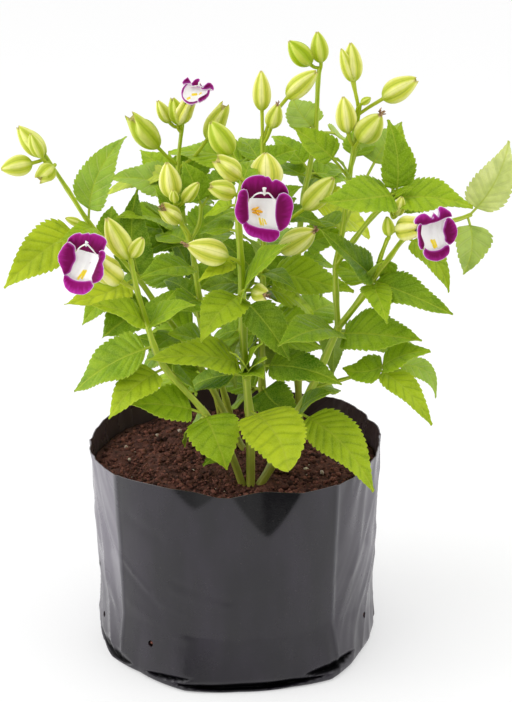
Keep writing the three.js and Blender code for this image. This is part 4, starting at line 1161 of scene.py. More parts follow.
LEAF_FACE = unit(np.array([0, -0.5, 0.87]))
TO_VIEWER = np.array([0, -0.94, 0.33])
COLUMNS = np.array([-1, -0.84, -0.62, -0.4, -0.2, -0.07, 0, 0.07, 0.2, 0.4, 0.62, 0.84, 1])
TOOTH_SHAPE = [(0.3, 0.35), (0.62, 0.75), (0.9, 1.0), (1.0, -0.35)]
PETIOLE_ROWS = 5
VEIN_START = 0.1
USUAL_WIDTH = 18
RIPPLE = 0.8
GROOVE = 0.35
KEEL = 0.6
TIP_WIDTH = 0.3
TONE_SPREAD = 0.05


def ovate(t, blunt):
    """The half width of a leaf along its length, 1 at its widest, a quarter of the way up."""
    shape = t**0.38 * (1 - t) ** (1.1 - blunt)
    return shape / shape.max()


def facing(along, turn):
    """Which way a blade faces: upwards, and then turned about its length towards the viewer."""
    face = unit(LEAF_FACE - along * (LEAF_FACE @ along))
    side = np.cross(along, face)
    side = side * np.sign(side @ TO_VIEWER)
    return face * math.cos(math.radians(turn)) + side * math.sin(math.radians(turn))


def toothed_edge(teeth, size, blunt):
    """Rows along a blade, as shares of its length, and how far its edge stands out at each of them."""
    rows = [0.0]
    bite = [0.0]
    for tooth in range(teeth):
        reach = TOOTH_BITE * size * rng.uniform(0.75, 1.4)
        for part, out in TOOTH_SHAPE:
            rows.append((tooth + part) / teeth)
            bite.append(out * reach * (1 - rows[-1] ** (3 + 20 * blunt)))
    return np.array(rows)[:, None], np.array(bite)[:, None]


def with_petiole(blade, petiole=0.0):
    """The rows of a blade, after the rows of its petiole."""
    return np.vstack([np.broadcast_to(petiole, (PETIOLE_ROWS, blade.shape[1])), blade])


def quilting(s, t, vein, size):
    """How high a blade swells between its veins and waves towards its edges."""
    off = np.abs(COLUMNS)
    phase = np.where(COLUMNS < 0, *rng.uniform(0, 1, 2))
    ripple = RIPPLE * np.sin(2 * np.pi * (1.9 * s + phase)) * off**2.5
    quilt = np.sin(np.pi * vein) ** 2 * off**0.4 * (1 - off**5)
    return size * (ripple + QUILTING * quilt * with_petiole(1 - t**4))


def flat_leaf(width, share, teeth, size, blunt):
    """A leaf laid flat: rows along its blade, and its grid as shares of its length and mm off its midrib."""
    t, bite = toothed_edge(teeth, size, blunt)
    half = np.maximum(BLADE_WIDEN * width * ovate(t, blunt) / 2 + bite, PETIOLE_RADIUS)
    half[-1] = TIP_WIDTH / 2
    on_midrib = t * (VEIN_START + (1 - VEIN_START) * t)
    sloped = on_midrib + (t - on_midrib) * np.abs(COLUMNS) ** 1.1
    s = with_petiole(share + (1 - share) * sloped, np.linspace(0, share, PETIOLE_ROWS + 1)[:-1, None])
    return t, s, COLUMNS * with_petiole(half, PETIOLE_RADIUS)


def leaf(pile, axis, row):
    """A toothed leaf with its petiole: quilted between veins that slope forward, folded along its midrib."""
    joint, u, v, depth, width, share, tone, bow, turn, blunt = (*row, 0, 0, 0)[:10]
    tip = seen(u, v, depth)
    start = axis.foot(joint, tip)
    along = unit(tip - start)
    face = facing(along, turn)
    length = np.linalg.norm(tip - start)
    teeth = int(np.clip(round(length * (1 - share) / TOOTH_PITCH), 8, 22))
    size = min(width / USUAL_WIDTH, 1.6)
    t, s, x = flat_leaf(width, share, teeth, size, blunt)
    vein = with_petiole(t * teeth / TEETH_A_VEIN)
    is_blade = with_petiole(smooth(0, 0.04, t))
    hump = 4 * s * (1 - s)
    fold = BLADE_FOLD * np.sqrt(x**2 + 0.4)
    rise = BLADE_ARCH * length * hump + fold + is_blade * quilting(s, t, vein, size)
    thick = between(PETIOLE_RADIUS * np.sqrt(1 - COLUMNS**2) + 0.05, BLADE_THICK / 2, is_blade)
    rib = is_blade * size * np.exp(-((x / (0.55 * size + 0.15)) ** 2))
    keel = KEEL * rib * (1 - 0.8 * s)
    centre = start + along * (length * s)[..., None] + np.cross(face, along) * (x + bow * hump)[..., None]
    pile.add_sheet(
        centre + face * (rise - GROOVE * rib + thick)[..., None],
        centre + face * (rise - keel - thick)[..., None],
        vein=vein,
        across=COLUMNS,
        rib=np.maximum(np.exp(-((x / (0.3 * size)) ** 2)) * (1 - 0.3 * s), 1 - is_blade),
        tone=np.clip(tone + rng.normal(0, TONE_SPREAD), 0, 2.2),
    )


# Calyces. Keels is 1 on the keel of each wing, stripes is 0 on the fine lines, lips is 1 on the two lips.
# Wings are how far the keels stand out, as a share of the radius.

POD_ANGLES = turns(60)
RIBS = 5
KEELS = np.abs(np.cos(RIBS * POD_ANGLES / 2)) ** 1.2
STRIPES = np.abs(np.sin(3 * RIBS * POD_ANGLES / 2))
LIPS = np.abs(np.arcsin(np.cos(POD_ANGLES))) / (np.pi / 2)
POD_ROWS = np.array([0.015, *np.linspace(0.05, 0.9, 20), 0.94, 0.965, 0.982, 0.995])[:, None]
CUP_ROWS = np.array([0.02, 0.06, 0.11, 0.18, 0.26, 0.34, 0.42, 0.5, 0.57, 0.62])[:, None]
POD_WINGS = 0.24
CUP_WINGS = 0.3
CUP_RADIUS = 0.28
CUP_POINTS = 0.16
CUP_FLOOR_ROW = 3
TUFT = 7
WITHERED = {"along": 1.0, "rib": 0.5, "stripe": 1.0, "tone": 0.5, "dry": 1.0}


def stalk_path(axis, joint, base, towards):
    start = axis.foot(joint, base)
    out = unit(towards - base)
    bend = between(base - out * 0.35 * np.linalg.norm(base - start), start, 0.3)
    return spline([start, bend, base], 5)


def add_calyx(pile, stalk, rings, s, stripes, **numbers):
    """Joins the rings of a calyx, which lie at the shares s of its length, to the rings of its stalk."""
    points, faces = loft(np.concatenate([stalk, rings]))
    on_stalk = stalk.shape[:2]
    on_calyx = rings.shape[:2]
    for name, below, value in (("along", 0.0, s), ("rib", 0.4, KEELS), ("stripe", 1.0, stripes)):
        values = np.vstack([np.full(on_stalk, below), np.broadcast_to(value, on_calyx)])
        numbers[name] = values.reshape(-1)
    pile.add(points, faces, **numbers)


def pod_radius(s):
    return 2.674 * s**0.6 * (1 - s) ** 0.85


def pod(pile, axis, row):
    """A winged calyx on its stalk, whose tip ends in two pointed lips."""
    joint, *ends, width, part, tone, withered = (*row, 0)[:11]
    base = seen(*ends[:3])
    tip = seen(*ends[3:])
    way = tip - base
    stalk = stalk_path(axis, joint, base, tip)
    reference = sideways_of(way)
    s = POD_ROWS
    bumps = 1 + 0.03 * np.sin(3 * POD_ANGLES + rng.uniform(0, 6))
    relief = (1 - POD_WINGS * (1 - KEELS) * smooth(0, 0.15, s)) * bumps
    radii = np.maximum(width / 2 * pod_radius(s) * relief, STALK_RADIUS * 0.3)
    rings = rings_along(base + way * s, radii, len(POD_ANGLES), reference)
    rings -= way * (part * (1 - LIPS) * smooth(0.45, 1, s))[..., None]
    spread = unit(reference - unit(way) * (unit(way) @ reference)) * width * part * 0.7
    rings += spread * (np.sign(np.cos(POD_ANGLES)) * smooth(0.6, 1, s) * LIPS)[..., None]
    stalk_radii = np.linspace(STALK_RADIUS, STALK_RADIUS * 1.15, len(stalk))
    stalk_rings = rings_along(stalk, stalk_radii, len(POD_ANGLES), reference)
    add_calyx(pile, stalk_rings, rings, s, STRIPES, tone=tone, dry=1.0 if withered else 0.6)
    if withered:
        tuft(pile, tip - unit(way) * 0.6, unit(way), width / 12)


def tuft(pile, start, out, size):
    """The shrivelled rest of a bloom: a few curled threads at the tip of a calyx."""
    for _ in range(TUFT):
        end = start + unit(out + rng.normal(0, 0.55, 3)) * rng.uniform(1.6, 3.4) * size
        middle = between(start, end, 0.5) + rng.normal(0, 0.5, 3) * size
        path = spline([start, middle, end], 4)
        radii = np.linspace(0.5, 0.22, len(path)) * size
        pile.add(*loft(rings_along(path, radii, 6, sideways_of(end - start))), **WITHERED)


def bloom_calyx(pile, axis, bloom):
    """The open calyx on its stalk, a winged cup that the bloom's tube stands in."""
    base = seen(*bloom["base"])
    throat = seen(*bloom["throat"])
    way = throat - base
    stalk = stalk_path(axis, bloom["from"][2], base, throat)
    reference = sideways_of(way)
    s = CUP_ROWS
    shape = np.interp(s, [0, 0.06, 0.14, 0.3, 0.62], [0.2, 0.5, 0.82, 1, 0.72])
    radii = CUP_RADIUS * bloom["width"] * shape * (1 - CUP_WINGS * (1 - KEELS))
    outer = rings_along(base + way * s, radii, len(POD_ANGLES), reference)
    points = unit(way) * CUP_POINTS * bloom["width"] * (KEELS - 0.4)[:, None]
    outer += points * smooth(0.35, 0.62, s)[..., None]
    middle = outer.mean(1, keepdims=True)
    inner = (middle + (outer - middle) * 0.9)[CUP_FLOOR_ROW:][::-1]
    stalk_rings = rings_along(stalk, STALK_RADIUS, len(POD_ANGLES), reference)
    rows = np.concatenate([s, s[CUP_FLOOR_ROW:][::-1]])
    add_calyx(pile, stalk_rings, np.concatenate([outer, inner]), rows, 1.0, tone=0.9, dry=0.0)


def leafy_stem(name, finishes):
    stalks = Pile()
    leaves = Pile()
    pods = Pile()
    shapes = [shape for shape in AXES if shape["stem"] == name]
    for index, shape in enumerate(shapes):
        axis = Axis(shape["thick"], shape["path"])
        stem_axis(stalks, axis, index == 0)
        for row in shape.get("leaves", []):
            leaf(leaves, axis, row)
        for row in shape.get("pods", []):
            pod(pods, axis, row)
        for bloom in BLOOMS:
            if bloom["from"][:2] == (name, index):
                bloom_calyx(pods, axis, bloom)
        for row in shape.get("inner", []):
            leaf(leaves, axis, row)
    stalks.mesh_object(name + "_axes", finishes["stalk"])
    blades = leaves.mesh_object(name + "_leaves", finishes["leaf"])
    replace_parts(blades, name)
    pods.mesh_object(name + "_calyces", finishes["calyx"], sharp=80)


# Blooms

LOBE_COLUMNS = 56
LOBE_ROWS = np.array([0, 0.02, 0.05, 0.1, 0.18, 0.28, 0.4, 0.52, 0.64, 0.75, 0.84, 0.91, 0.96, 0.985, 1])
LOBE_BULGE = 0.035
LOBE_RUFFLE = 0.007
RIM_CURL = 0.02
FLOOR_COLUMNS = 45
FLOOR_ROWS = 55
FLOOR_HEIGHTS = (-0.075, -0.035)
FLOOR_DEPTH = 0.085
FLOOR_FOLDS = 0.012
AROUND_TUBE = 28
AROUND_STAMEN = 12

# The stamens: heights out of the bloom's face along them, and their radii as shares and bloom widths
ARCH_HEIGHTS = [-0.03, 0.0, 0.03, 0.05, 0.03, 0.0, -0.03]
ARCH_RADII = [(0, 0.5, 1), (0.0117, 0.01625, 0.0117)]
HEAD_HEIGHTS = [0.04, 0.06, 0.05]
HEAD_RADII = [(0, 0.15, 0.4, 0.75, 0.93, 1), (0.008, 0.026, 0.022, 0.034, 0.036, 0.014)]

# Shed anthers on the floor of one throat, in its bloom's frame: from, to and radius in bloom widths
POLLEN_ON = "centre"
POLLEN = [
    ((-0.2, -0.235, 0.03), (-0.11, -0.215, 0.05), 0.022),
    ((-0.19, -0.275, 0.03), (-0.1, -0.29, 0.05), 0.02),
    ((-0.15, -0.25, 0.03), (-0.01, -0.27, 0.06), 0.026),
    ((-0.14, -0.21, 0.04), (-0.075, -0.19, 0.05), 0.018),
    ((-0.12, -0.3, 0.03), (-0.06, -0.325, 0.04), 0.017),
]
POLLEN_SUNK = 0.09


def bloom_axes(bloom):
    turn, lift, roll = [math.radians(bloom[key]) for key in ("turn", "lift", "roll")]
    out = np.array([math.sin(turn) * math.cos(lift), -math.cos(turn) * math.cos(lift), math.sin(lift)])
    level = np.array([math.cos(turn), math.sin(turn), 0])
    upright = -np.cross(level, out)
    up = upright * math.cos(roll) + level * math.sin(roll)
    right = level * math.cos(roll) - upright * math.sin(roll)
    return np.array([right, up, out])


def in_bloom(bloom, local):
    """Points of the bloom's own frame, in bloom widths, as points in the part's frame."""
    return seen(*bloom["throat"]) + (np.asarray(local) * bloom["width"]) @ bloom_axes(bloom)


def on_bloom(bloom, u, v, height):
    """Where a pixel of the photograph falls on a plane of the bloom, as local points in bloom widths."""
    u, v, height = np.broadcast_arrays(u, v, height)
    throat = seen(*bloom["throat"])
    axes = bloom_axes(bloom)
    points = []
    for one_u, one_v, one_height in zip(u.ravel(), v.ravel(), height.ravel()):
        ray = seen(one_u, one_v, 0) - EYE
        reach = ((throat - EYE) @ axes[2] + one_height * bloom["width"]) / (ray @ axes[2])
        points.append(axes @ (EYE + ray * reach - throat) / bloom["width"])
    return np.reshape(points, (*u.shape, 3))


def line_on_bloom(bloom, outline, height):
    flat = np.array(outline, float)
    return spline(on_bloom(bloom, flat[:, 0], flat[:, 1], height), 6)


def distance_to_line(points, line):
    """How far each flat point lies from a polyline."""
    a = line[:-1]
    way = line[1:] - a
    offset = points[:, None] - a
    share = np.clip((offset * way).sum(2) / (way**2).sum(1), 0, 1)
    return np.linalg.norm(offset - way * share[..., None], axis=2).min(1)


def add_petal(pile, bloom, local, **settings):
    """A thin sheet of a bloom on both sides of a grid of local points."""
    middle = in_bloom(bloom, local)
    out = bloom_axes(bloom)[2] * PETAL_THICK / 2
    pile.add_sheet(middle + out, middle - out, **settings)


def lobe(pile, bloom, shape):
    """One lobe: a thin bulging sheet between its inner and outer edge, with a pale rim that curls back."""
    inner, outer = [
        evenly(line_on_bloom(bloom, shape[edge], height), LOBE_COLUMNS)
        for edge, height in zip(("inner", "outer"), shape["heights"])
    ]
    share = LOBE_ROWS[:, None]
    local = inner + (outer - inner) * share[..., None]
    outline = np.vstack([inner, outer[::-1], inner[:1]])[:, :2]
    flat = local[..., :2].reshape(-1, 2)
    rim = distance_to_line(flat, outline).reshape(local.shape[:2]) * bloom["width"]
    root = distance_to_line(flat, inner[:, :2]).reshape(local.shape[:2]) * bloom["width"]
    k = np.linspace(0, 1, LOBE_COLUMNS)
    wide = np.sin(2 * np.pi * (3.4 * k + rng.uniform()))
    narrow = np.sin(2 * np.pi * (7.3 * k + rng.uniform()))
    local[..., 2] += LOBE_BULGE * 4 * share * (1 - share)
    local[..., 2] += LOBE_RUFFLE * (wide + 0.6 * narrow) * share**2
    local[..., 2] -= RIM_CURL * (1 - smooth(0, 0.8, rim))
    add_petal(pile, bloom, local, rim=rim, root=root, outwards=share, sideways=k, shade=shape["shade"])


def streak_strength(streaks, place):
    """1 on the yellow streaks of the throat, 0 off them."""
    flat = place.reshape(-1, 2)
    strength = np.zeros(len(flat))
    for start, end, half in streaks:
        away = distance_to_line(flat, np.array([start, end], float))
        strength = np.maximum(strength, 1 - smooth(0.6 * half, half, away))
    return strength.reshape(place.shape[:2])


def throat_floor(pile, bloom):
    """The white trough from the mouth down to the lower lobe, with two soft folds along it."""
    left, right = [evenly(spline(edge, 6), FLOOR_ROWS)[:, None] for edge in bloom["floor"]]
    across = np.linspace(-1, 1, FLOOR_COLUMNS)
    place = between(left, right, (across[:, None] + 1) / 2)
    share = np.linspace(0, 1, FLOOR_ROWS)[:, None]
    depth = FLOOR_DEPTH * (1 - 0.65 * share) * (1 - np.abs(across) ** 2.6)
    folds = FLOOR_FOLDS * np.cos(3 * np.pi * across) * (1 - across**2) * np.sin(np.pi * share)
    height = between(*FLOOR_HEIGHTS, share) - depth + folds
    local = on_bloom(bloom, place[..., 0], place[..., 1], height)
    yellow = streak_strength(bloom["streaks"], place)
    add_petal(pile, bloom, local, back="tube", yellow=yellow, mouth=0)


def bloom_tube(pile, bloom):
    """The hollow tube behind the lobes, which narrows and bends down into the calyx."""
    foot = between(seen(*bloom["base"]), seen(*bloom["throat"]), 0.36)
    axes = bloom_axes(bloom)
    width = bloom["width"]
    mouth = in_bloom(bloom, [-0.01, -0.1, -0.22])
    bend = between(foot, mouth, 0.6) - axes[2] * 0.1 * width
    path = spline([foot, bend, mouth], 7)
    share = np.linspace(0, 1, len(path))
    radii = np.interp(share, [0, 0.5, 0.85, 1], [1.6, 0.1 * width, 0.14 * width, 0.18 * width])
    outer = rings_along(path, radii, AROUND_TUBE, axes[1])
    inner = rings_along(path, np.maximum(radii - 0.4, 0.8), AROUND_TUBE, axes[1])[5:][::-1]
    inside = np.repeat([0.0, 1.0], [outer.size // 3, inner.size // 3])
    pile.add(*loft(np.concatenate([outer, inner])), yellow=0.0, mouth=inside, tube=1 - inside)


def stamen(pile, bloom, outline, heights, radii, reference):
    line = line_on_bloom(bloom, outline, np.array(heights) + bloom["seat"])
    widths = np.interp(np.linspace(0, 1, len(line)), *radii)
    path = in_bloom(bloom, line)
    pile.add(*loft(rings_along(path, bloom["width"] * widths, AROUND_STAMEN, reference)))


def wishbone(bloom, material):
    """Two joined stamens that arch over the mouth and carry a pair of anthers under the upper lobe."""
    pile = Pile()
    axes = bloom_axes(bloom)
    stamen(pile, bloom, bloom["arch"], ARCH_HEIGHTS, ARCH_RADII, axes[2])
    stamen(pile, bloom, bloom["head"], HEAD_HEIGHTS, HEAD_RADII, axes[0])
    piece = pile.mesh_object("wishbone_" + bloom["name"] + "_stamens", material)
    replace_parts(piece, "wishbone_" + bloom["name"])


def pollen(bloom, material):
    """Shed anthers that lie on the floor of one throat."""
    pile = Pile()
    share = np.linspace(0, 1, 9)
    rounding = np.sqrt(np.clip(1 - (2 * share - 1) ** 2, 0.05, 1))
    for start, end, size in POLLEN:
        path = in_bloom(bloom, np.linspace(start, end, 9) - [0, 0, POLLEN_SUNK])
        radii = bloom["width"] * size * rounding[:, None] * rng.uniform(0.75, 1.25, (9, 10))
        pile.add(*loft(rings_along(path, radii, 10, bloom_axes(bloom)[1])))
    pile.mesh_object("bloom_centre_pollen", material)


def make_bloom(bloom, finishes):
    name = "bloom_" + bloom["name"]
    lobes = Pile()
    for shape in bloom["lobes"]:
        lobe(lobes, bloom, shape)
    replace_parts(lobes.mesh_object(name + "_lobes", finishes["petal"]), name)
    throat = Pile()
    throat_floor(throat, bloom)
    bloom_tube(throat, bloom)
    throat.mesh_object(name + "_throat", finishes["throat"])
    wishbone(bloom, finishes["stamen"])
    if bloom["name"] == POLLEN_ON:
        pollen(bloom, finishes["pollen"])


# The bag

BAG_COLUMNS = 440
BAG_LEVELS = 90
FOOT_RADII = [2, 36, 66, 70.5]
FOOT_LEVELS = [0, 0, 0, 0, 0.15, 0.6]
CREASES = [0, 47, 139, 180, 219, 311, 360]
PANEL_FLATNESS = 0.04
SIDE_SQUEEZE = 0.025
RIGHT_SQUEEZE = 0.016
FOOT_HEIGHT = 28
CREASE_RIDGE = 0.5
CREASE_WIDTH = 0.9
UNDERCUT = 1.4
UNDERCUT_HEIGHT = 5
SET_IN = 0.4

# The folded bottom edge as (angle, radius)
FOOT_EDGE = [
    (0, 72), (13, 72), (52, 77), (72, 74), (90, 73), (108, 74), (128, 77), (167, 72), (193, 72.8),
    (212, 76.5), (229, 75.5), (251, 80), (271, 77), (292, 77.5), (307, 80.5), (329, 73.5), (347, 72),
    (360, 72),
]

# Punched drain holes as (angle, height)
DRAINS = [(235, 19), (335, 19), (199, 16), (192, 41), (55, 19), (155, 19), (15, 41), (110, 41)]

# Folds of the film: from (angle, height) to (angle, height), half width in mm, how far they stand out
FOLDS = [
    ((219, 60), (226, 54), 0.9, 0.35), ((226, 54), (234, 47), 1, 0.3), ((219, 57), (238, 40), 2.6, -0.2),
    ((238, 43), (252, 38), 1.6, 0.2), ((246, 55), (267, 48), 2.2, -0.4),
    ((246, 51), (267, 45), 2.6, 0.3), ((267, 48), (290, 52), 2.6, -0.2), ((224, 36), (250, 26), 3, 0.25),
    ((226, 84), (240, 78), 3, -0.3), ((186, 100), (198, 60), 3, 0.7), ((180, 104), (198, 104), 5, 1),
    ((197, 104), (210, 62), 3.5, -0.8), ((190, 70), (212, 30), 3, 0.6), ((354, 104), (334, 62), 3, -0.8),
    ((344, 90), (322, 50), 3, 0.7), ((350, 60), (326, 24), 3, 0.6), ((60, 100), (66, 50), 4, -0.9),
    ((84, 60), (120, 42), 3, 0.4), ((80, 66), (118, 50), 4, -0.4), ((128, 104), (122, 60), 4, 0.8),
    ((10, 100), (26, 40), 3.5, 0.7), ((168, 90), (152, 30), 3, 0.7),
]

# Tucks where the foot is folded under: from (angle, height) to (angle, height), half height, how deep
TUCKS = [
    ((246, 3.4), (306, 4), 2.8, 3.2), ((192, 5), (226, 4), 4.5, 2.6), ((233, 4), (254, 7), 1.8, 2),
    ((296, 6.5), (322, 8), 3, 3), ((50, 4), (85, 3), 3, 2.2), ((95, 3), (132, 4), 2.6, 2.2),
    ((10, 4), (40, 4), 2.5, 1.8), ((140, 5), (176, 4), 2.5, 1.8),
]

# Flat facets where the rim is drawn in: (angle, half width in degrees, lowest level, how far it comes in)
FACETS = [(282, 14, 80, 6.6), (255, 9, 94, 2.4), (66, 20, 84, 3), (112, 14, 90, 2)]


def wall_radius(degrees, height):
    """The wall flares upwards, its panels are flattened, and it is narrower from side to side."""
    k = np.clip(np.searchsorted(CREASES, degrees, side="right") - 1, 0, len(CREASES) - 2)
    start = np.take(CREASES, k)
    end = np.take(CREASES, k + 1)
    chord = np.cos(np.radians((end - start) / 2)) / np.cos(np.radians(degrees - (start + end) / 2))
    flare = between(-2, 2, height / BAG_HEIGHT)
    sideways = np.cos(np.radians(degrees))
    squeeze = 1 - SIDE_SQUEEZE * sideways**4 - RIGHT_SQUEEZE * np.maximum(sideways, 0) ** 4
    return (BAG_RADIUS + flare) * (1 - PANEL_FLATNESS * (1 - chord)) * squeeze


def bag_radius(degrees, height):
    low = np.interp(degrees, *zip(*FOOT_EDGE))
    share = np.clip(height / FOOT_HEIGHT, 0, 1)
    return between(low, wall_radius(degrees, np.maximum(height, FOOT_HEIGHT)), share)


def fold_relief(degrees, height):
    """How far the folds move the film in or out, in millimetres."""
    flat = np.stack([np.radians(degrees) * BAG_RADIUS, height], -1).reshape(-1, 2)
    relief = np.zeros(len(flat))
    for start, end, width, lift in FOLDS:
        line = np.array([start, end], float)
        line[:, 0] = np.radians(line[:, 0]) * BAG_RADIUS
        relief += lift * np.exp(-((distance_to_line(flat, line) / width) ** 2))
    return relief.reshape(np.shape(degrees))


def tuck_relief(degrees, height):
    """How far the tucks go in: slanting inwards on the way down, and out again over a narrow lip."""
    relief = np.zeros(np.shape(degrees))
    for (start, low), (end, high), half, depth in TUCKS:
        share = np.clip((degrees - start) / (end - start), 0, 1)
        swell = np.sqrt(np.sin(np.pi * share)) + 1e-6
        rise = (height - between(low, high, share)) / (half * swell)
        relief += depth * swell * np.interp(rise, [-1, -0.6, 1], [0, 1, 0])
    return relief


def facet_relief(degrees, height):
    relief = 0
    for centre, half, low, depth in FACETS:
        off = np.sqrt((degrees - centre) ** 2 + 2) / half
        edge = low + (BAG_HEIGHT - low) * off**1.3
        relief = relief - depth * np.clip((height - edge) / (BAG_HEIGHT - low), 0, 1.2)
    return relief


def is_side(degrees):
    """1 on the four narrow panels, 0 on the broad front and back ones."""
    front = smooth(217, 221, degrees) * (1 - smooth(309, 313, degrees))
    back = smooth(45, 49, degrees) * (1 - smooth(137, 141, degrees))
    return 1 - front - back


def crinkle(degrees, height):
    """Soft waves of the slack film, and on the side panels sharper facets that run up and down."""
    angle = np.radians(degrees)
    wide = 0.3 * np.sin(3 * angle + 0.05 * height) * np.sin(0.045 * height + 2 * angle)
    sharp = np.zeros(np.shape(degrees))
    side = is_side(degrees)
    lean = np.sign(np.sin(2 * angle))
    across = angle * BAG_RADIUS * 0.075 + lean * height * 0.034 + 0.22 * np.sin(0.075 * height)
    for spot in map(tuple, np.argwhere(side > 0.02)):
        place = Vector((across[spot], height[spot] * 0.011, 5 * lean[spot]))
        sharp[spot] = 0.55 - abs(noise.noise(place)) * 2.6 + 0.35 * noise.noise(place * 2.6)
    return wide + side * sharp


def crease_line(degrees):
    """1 on a crease of the bag, falling off to its sides."""
    off = [np.radians(degrees - crease) * BAG_RADIUS / CREASE_WIDTH for crease in CREASES]
    return np.exp(-np.square(off)).sum(0)


def film_radius(degrees, height):
    """The outer face of the film as it really lies, with its folds."""
    degrees = np.asarray(degrees, float) % 360
    relief = fold_relief(degrees, height) + crinkle(degrees, height) + CREASE_RIDGE * crease_line(degrees)
    inwards = UNDERCUT * np.clip(1 - height / UNDERCUT_HEIGHT, 0, 1) ** 2
    inwards += tuck_relief(degrees, height) * smooth(0, 1, height)
    drawn_in = facet_relief(degrees, height) - inwards - SET_IN
    return bag_radius(degrees, height) + relief * smooth(0, 4, height) + drawn_in


def rim_height(degrees):
    wave = RIM_WAVE * np.sin(np.radians(3 * degrees + 60)) + 0.25 * np.sin(np.radians(11 * degrees))
    dip = 1.8 * np.exp(-(((degrees - 265) / 12) ** 2))
    peak = 1.5 * np.exp(-(((degrees - 55) / 25) ** 2))
    return BAG_HEIGHT + wave - dip + peak


def side_sheen(degrees, height):
    """How much lighter the side panels are painted, a painted reflection of the bright room: fading
    downwards, and on the right also away from the middle.
    """
    off_right = np.abs((degrees + 180) % 360 - 180)
    on_right = between(0.85, 0.27, smooth(12, 47, off_right)) * between(0.45, 1.05, smooth(5, 60, height))
    on_left = between(0.2, 1.1, smooth(5, 66, height)) + 0.3 * smooth(197, 184, degrees)
    return is_side(degrees) * np.where(off_right < 90, on_right, on_left)


def cylinder_points(radii, angle, heights):
    x, y, z = np.broadcast_arrays(radii * np.cos(angle), radii * np.sin(angle), heights)
    return np.stack([x, y, z], -1)


def cut_hole(kept, angle, heights, hole, level):
    """Takes the cells of a punched hole out of the grid and pulls the points round it onto a circle."""
    off = (angle - hole) * BAG_RADIUS
    rise = heights - level
    away = np.hypot(off, rise)
    centre_off = (off[1:] + off[:-1]) / 2 + np.pi * BAG_RADIUS / BAG_COLUMNS
    centre_rise = (rise[1:] + rise[:-1]) / 2
    inside = np.hypot(centre_off, centre_rise) < DRAIN_RADIUS
    kept &= ~inside
    near = np.zeros(angle.shape, bool)
    i, j = np.nonzero(inside)
    for di in (0, 1):
        for dj in (0, 1):
            near[i + di, (j + dj) % BAG_COLUMNS] = True
    scale = DRAIN_RADIUS / np.maximum(away[near], 0.3)
    angle[near] = hole + off[near] * scale / BAG_RADIUS
    heights[near] = level + rise[near] * scale


def make_bag(material):
    """One closed skin of film: its underside, folded foot and wall, with the punched holes cut out."""
    degrees = np.arange(BAG_COLUMNS) * 360 / BAG_COLUMNS
    share = np.linspace(0, 1, BAG_LEVELS)[:, None] ** 1.4
    wall = between(1.4, rim_height(degrees), share)
    foot = film_radius(degrees, np.zeros(BAG_COLUMNS))
    under = [np.minimum(radius, foot - 0.9) for radius in FOOT_RADII]
    on_wall = film_radius(np.broadcast_to(degrees, wall.shape), wall)
    radii = np.vstack([*under, foot - 0.9, foot - 0.25, on_wall])
    heights = np.vstack([*[np.full(BAG_COLUMNS, level) for level in FOOT_LEVELS], wall])
    angle = np.radians(degrees) + 0 * heights
    kept = np.ones((len(heights) - 1, BAG_COLUMNS), bool)
    for hole, level in DRAINS:
        cut_hole(kept, angle, heights, math.radians(hole), level)
    thin = np.clip(heights, 0, 0.6) / 0.6
    degrees = np.degrees(angle)
    pile = Pile()
    pile.add_sheet(
        cylinder_points(radii, angle, heights),
        cylinder_points(radii - FILM * thin, angle, heights + FILM * (1 - thin)),
        back="inner",
        kept=kept,
        wrap=True,
        # a painted reflection of the bright room on the side panels
        side=side_sheen(degrees, heights),
        # a painted dark reflection on the facets under the rim
        facet=smooth(0.1, 0.8, -facet_relief(degrees, heights)),
        # a painted highlight along the creases
        crease=crease_line(degrees) * smooth(0, 60, heights),
        # painted shade in the tucks under the foot
        pit=smooth(0.4, 1.3, tuck_relief(degrees, heights)),
    )
    piece = pile.mesh_object("grow_bag_film", material, sharp=40)
    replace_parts(piece, "grow_bag")


# The potting mix. The root ball is (distance inside the film, height), its lumps are layers of noise as
# (scale, height), and some grains of perlite show at these pixels of the photograph.

AROUND_SOIL = 200
SOIL_RINGS = 60
SOIL_GAP = 0.35
RIM_LEVEL = SOIL_TOP - 1.2
ROOT_BALL = [(8, 2), (3, 13), (3, 84)]
LUMPS = [(0.09, 1.1), (0.45, 0.6), (1.3, 0.7)]
CRUMBS = 5200
PERLITE = 26
PLUG_RADIUS = 1.3
PERLITE_SEEN = [(126, 448), (158, 436), (129, 460), (322, 474), (306, 470), (180, 432)]


def lumps(points, *layers):
    """Noise over points, as the sum of layers that are (scale, height)."""
    return np.array([
        sum(height * noise.noise(Vector(point) * scale) for scale, height in layers) for point in points
    ])


def make_soil(material):
    """The potting mix: a lumpy mound that meets the film, over a plain root ball."""
    angle = turns(AROUND_SOIL)
    edge = film_radius(np.degrees(angle), np.full(AROUND_SOIL, RIM_LEVEL)) - FILM - SOIL_GAP
    rings = [cylinder_points(edge - gap, angle, height) for gap, height in ROOT_BALL]
    for share in np.linspace(1, 0.04, SOIL_RINGS):
        mound = 1 + SOIL_MOUND * (1 - share**2) - smooth(0.93, 1, share)
        ring = cylinder_points(edge * share, angle, RIM_LEVEL + mound)
        ring[:, 2] += lumps(ring, *LUMPS)
        rings.append(ring)
    points, faces = loft(rings)
    pile = Pile()
    pile.add(points, faces, tone=np.clip(0.3 + lumps(points, (0.3, 0.54)), 0, 1))
    soil = pile.mesh_object("potting_mix_bed", material, sharp=180)
    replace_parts(soil, "potting_soil")


def soil_level(x, y):
    share = np.hypot(x, y) / BAG_RADIUS
    return SOIL_TOP - 0.2 + SOIL_MOUND * (1 - share**2)


def crumb_shape():
    work = bmesh.new()
    bmesh.ops.create_icosphere(work, subdivisions=1, radius=1)
    points = np.array([v.co[:] for v in work.verts])
    faces = [[v.index for v in face.verts] for face in work.faces]
    work.free()
    return points, faces


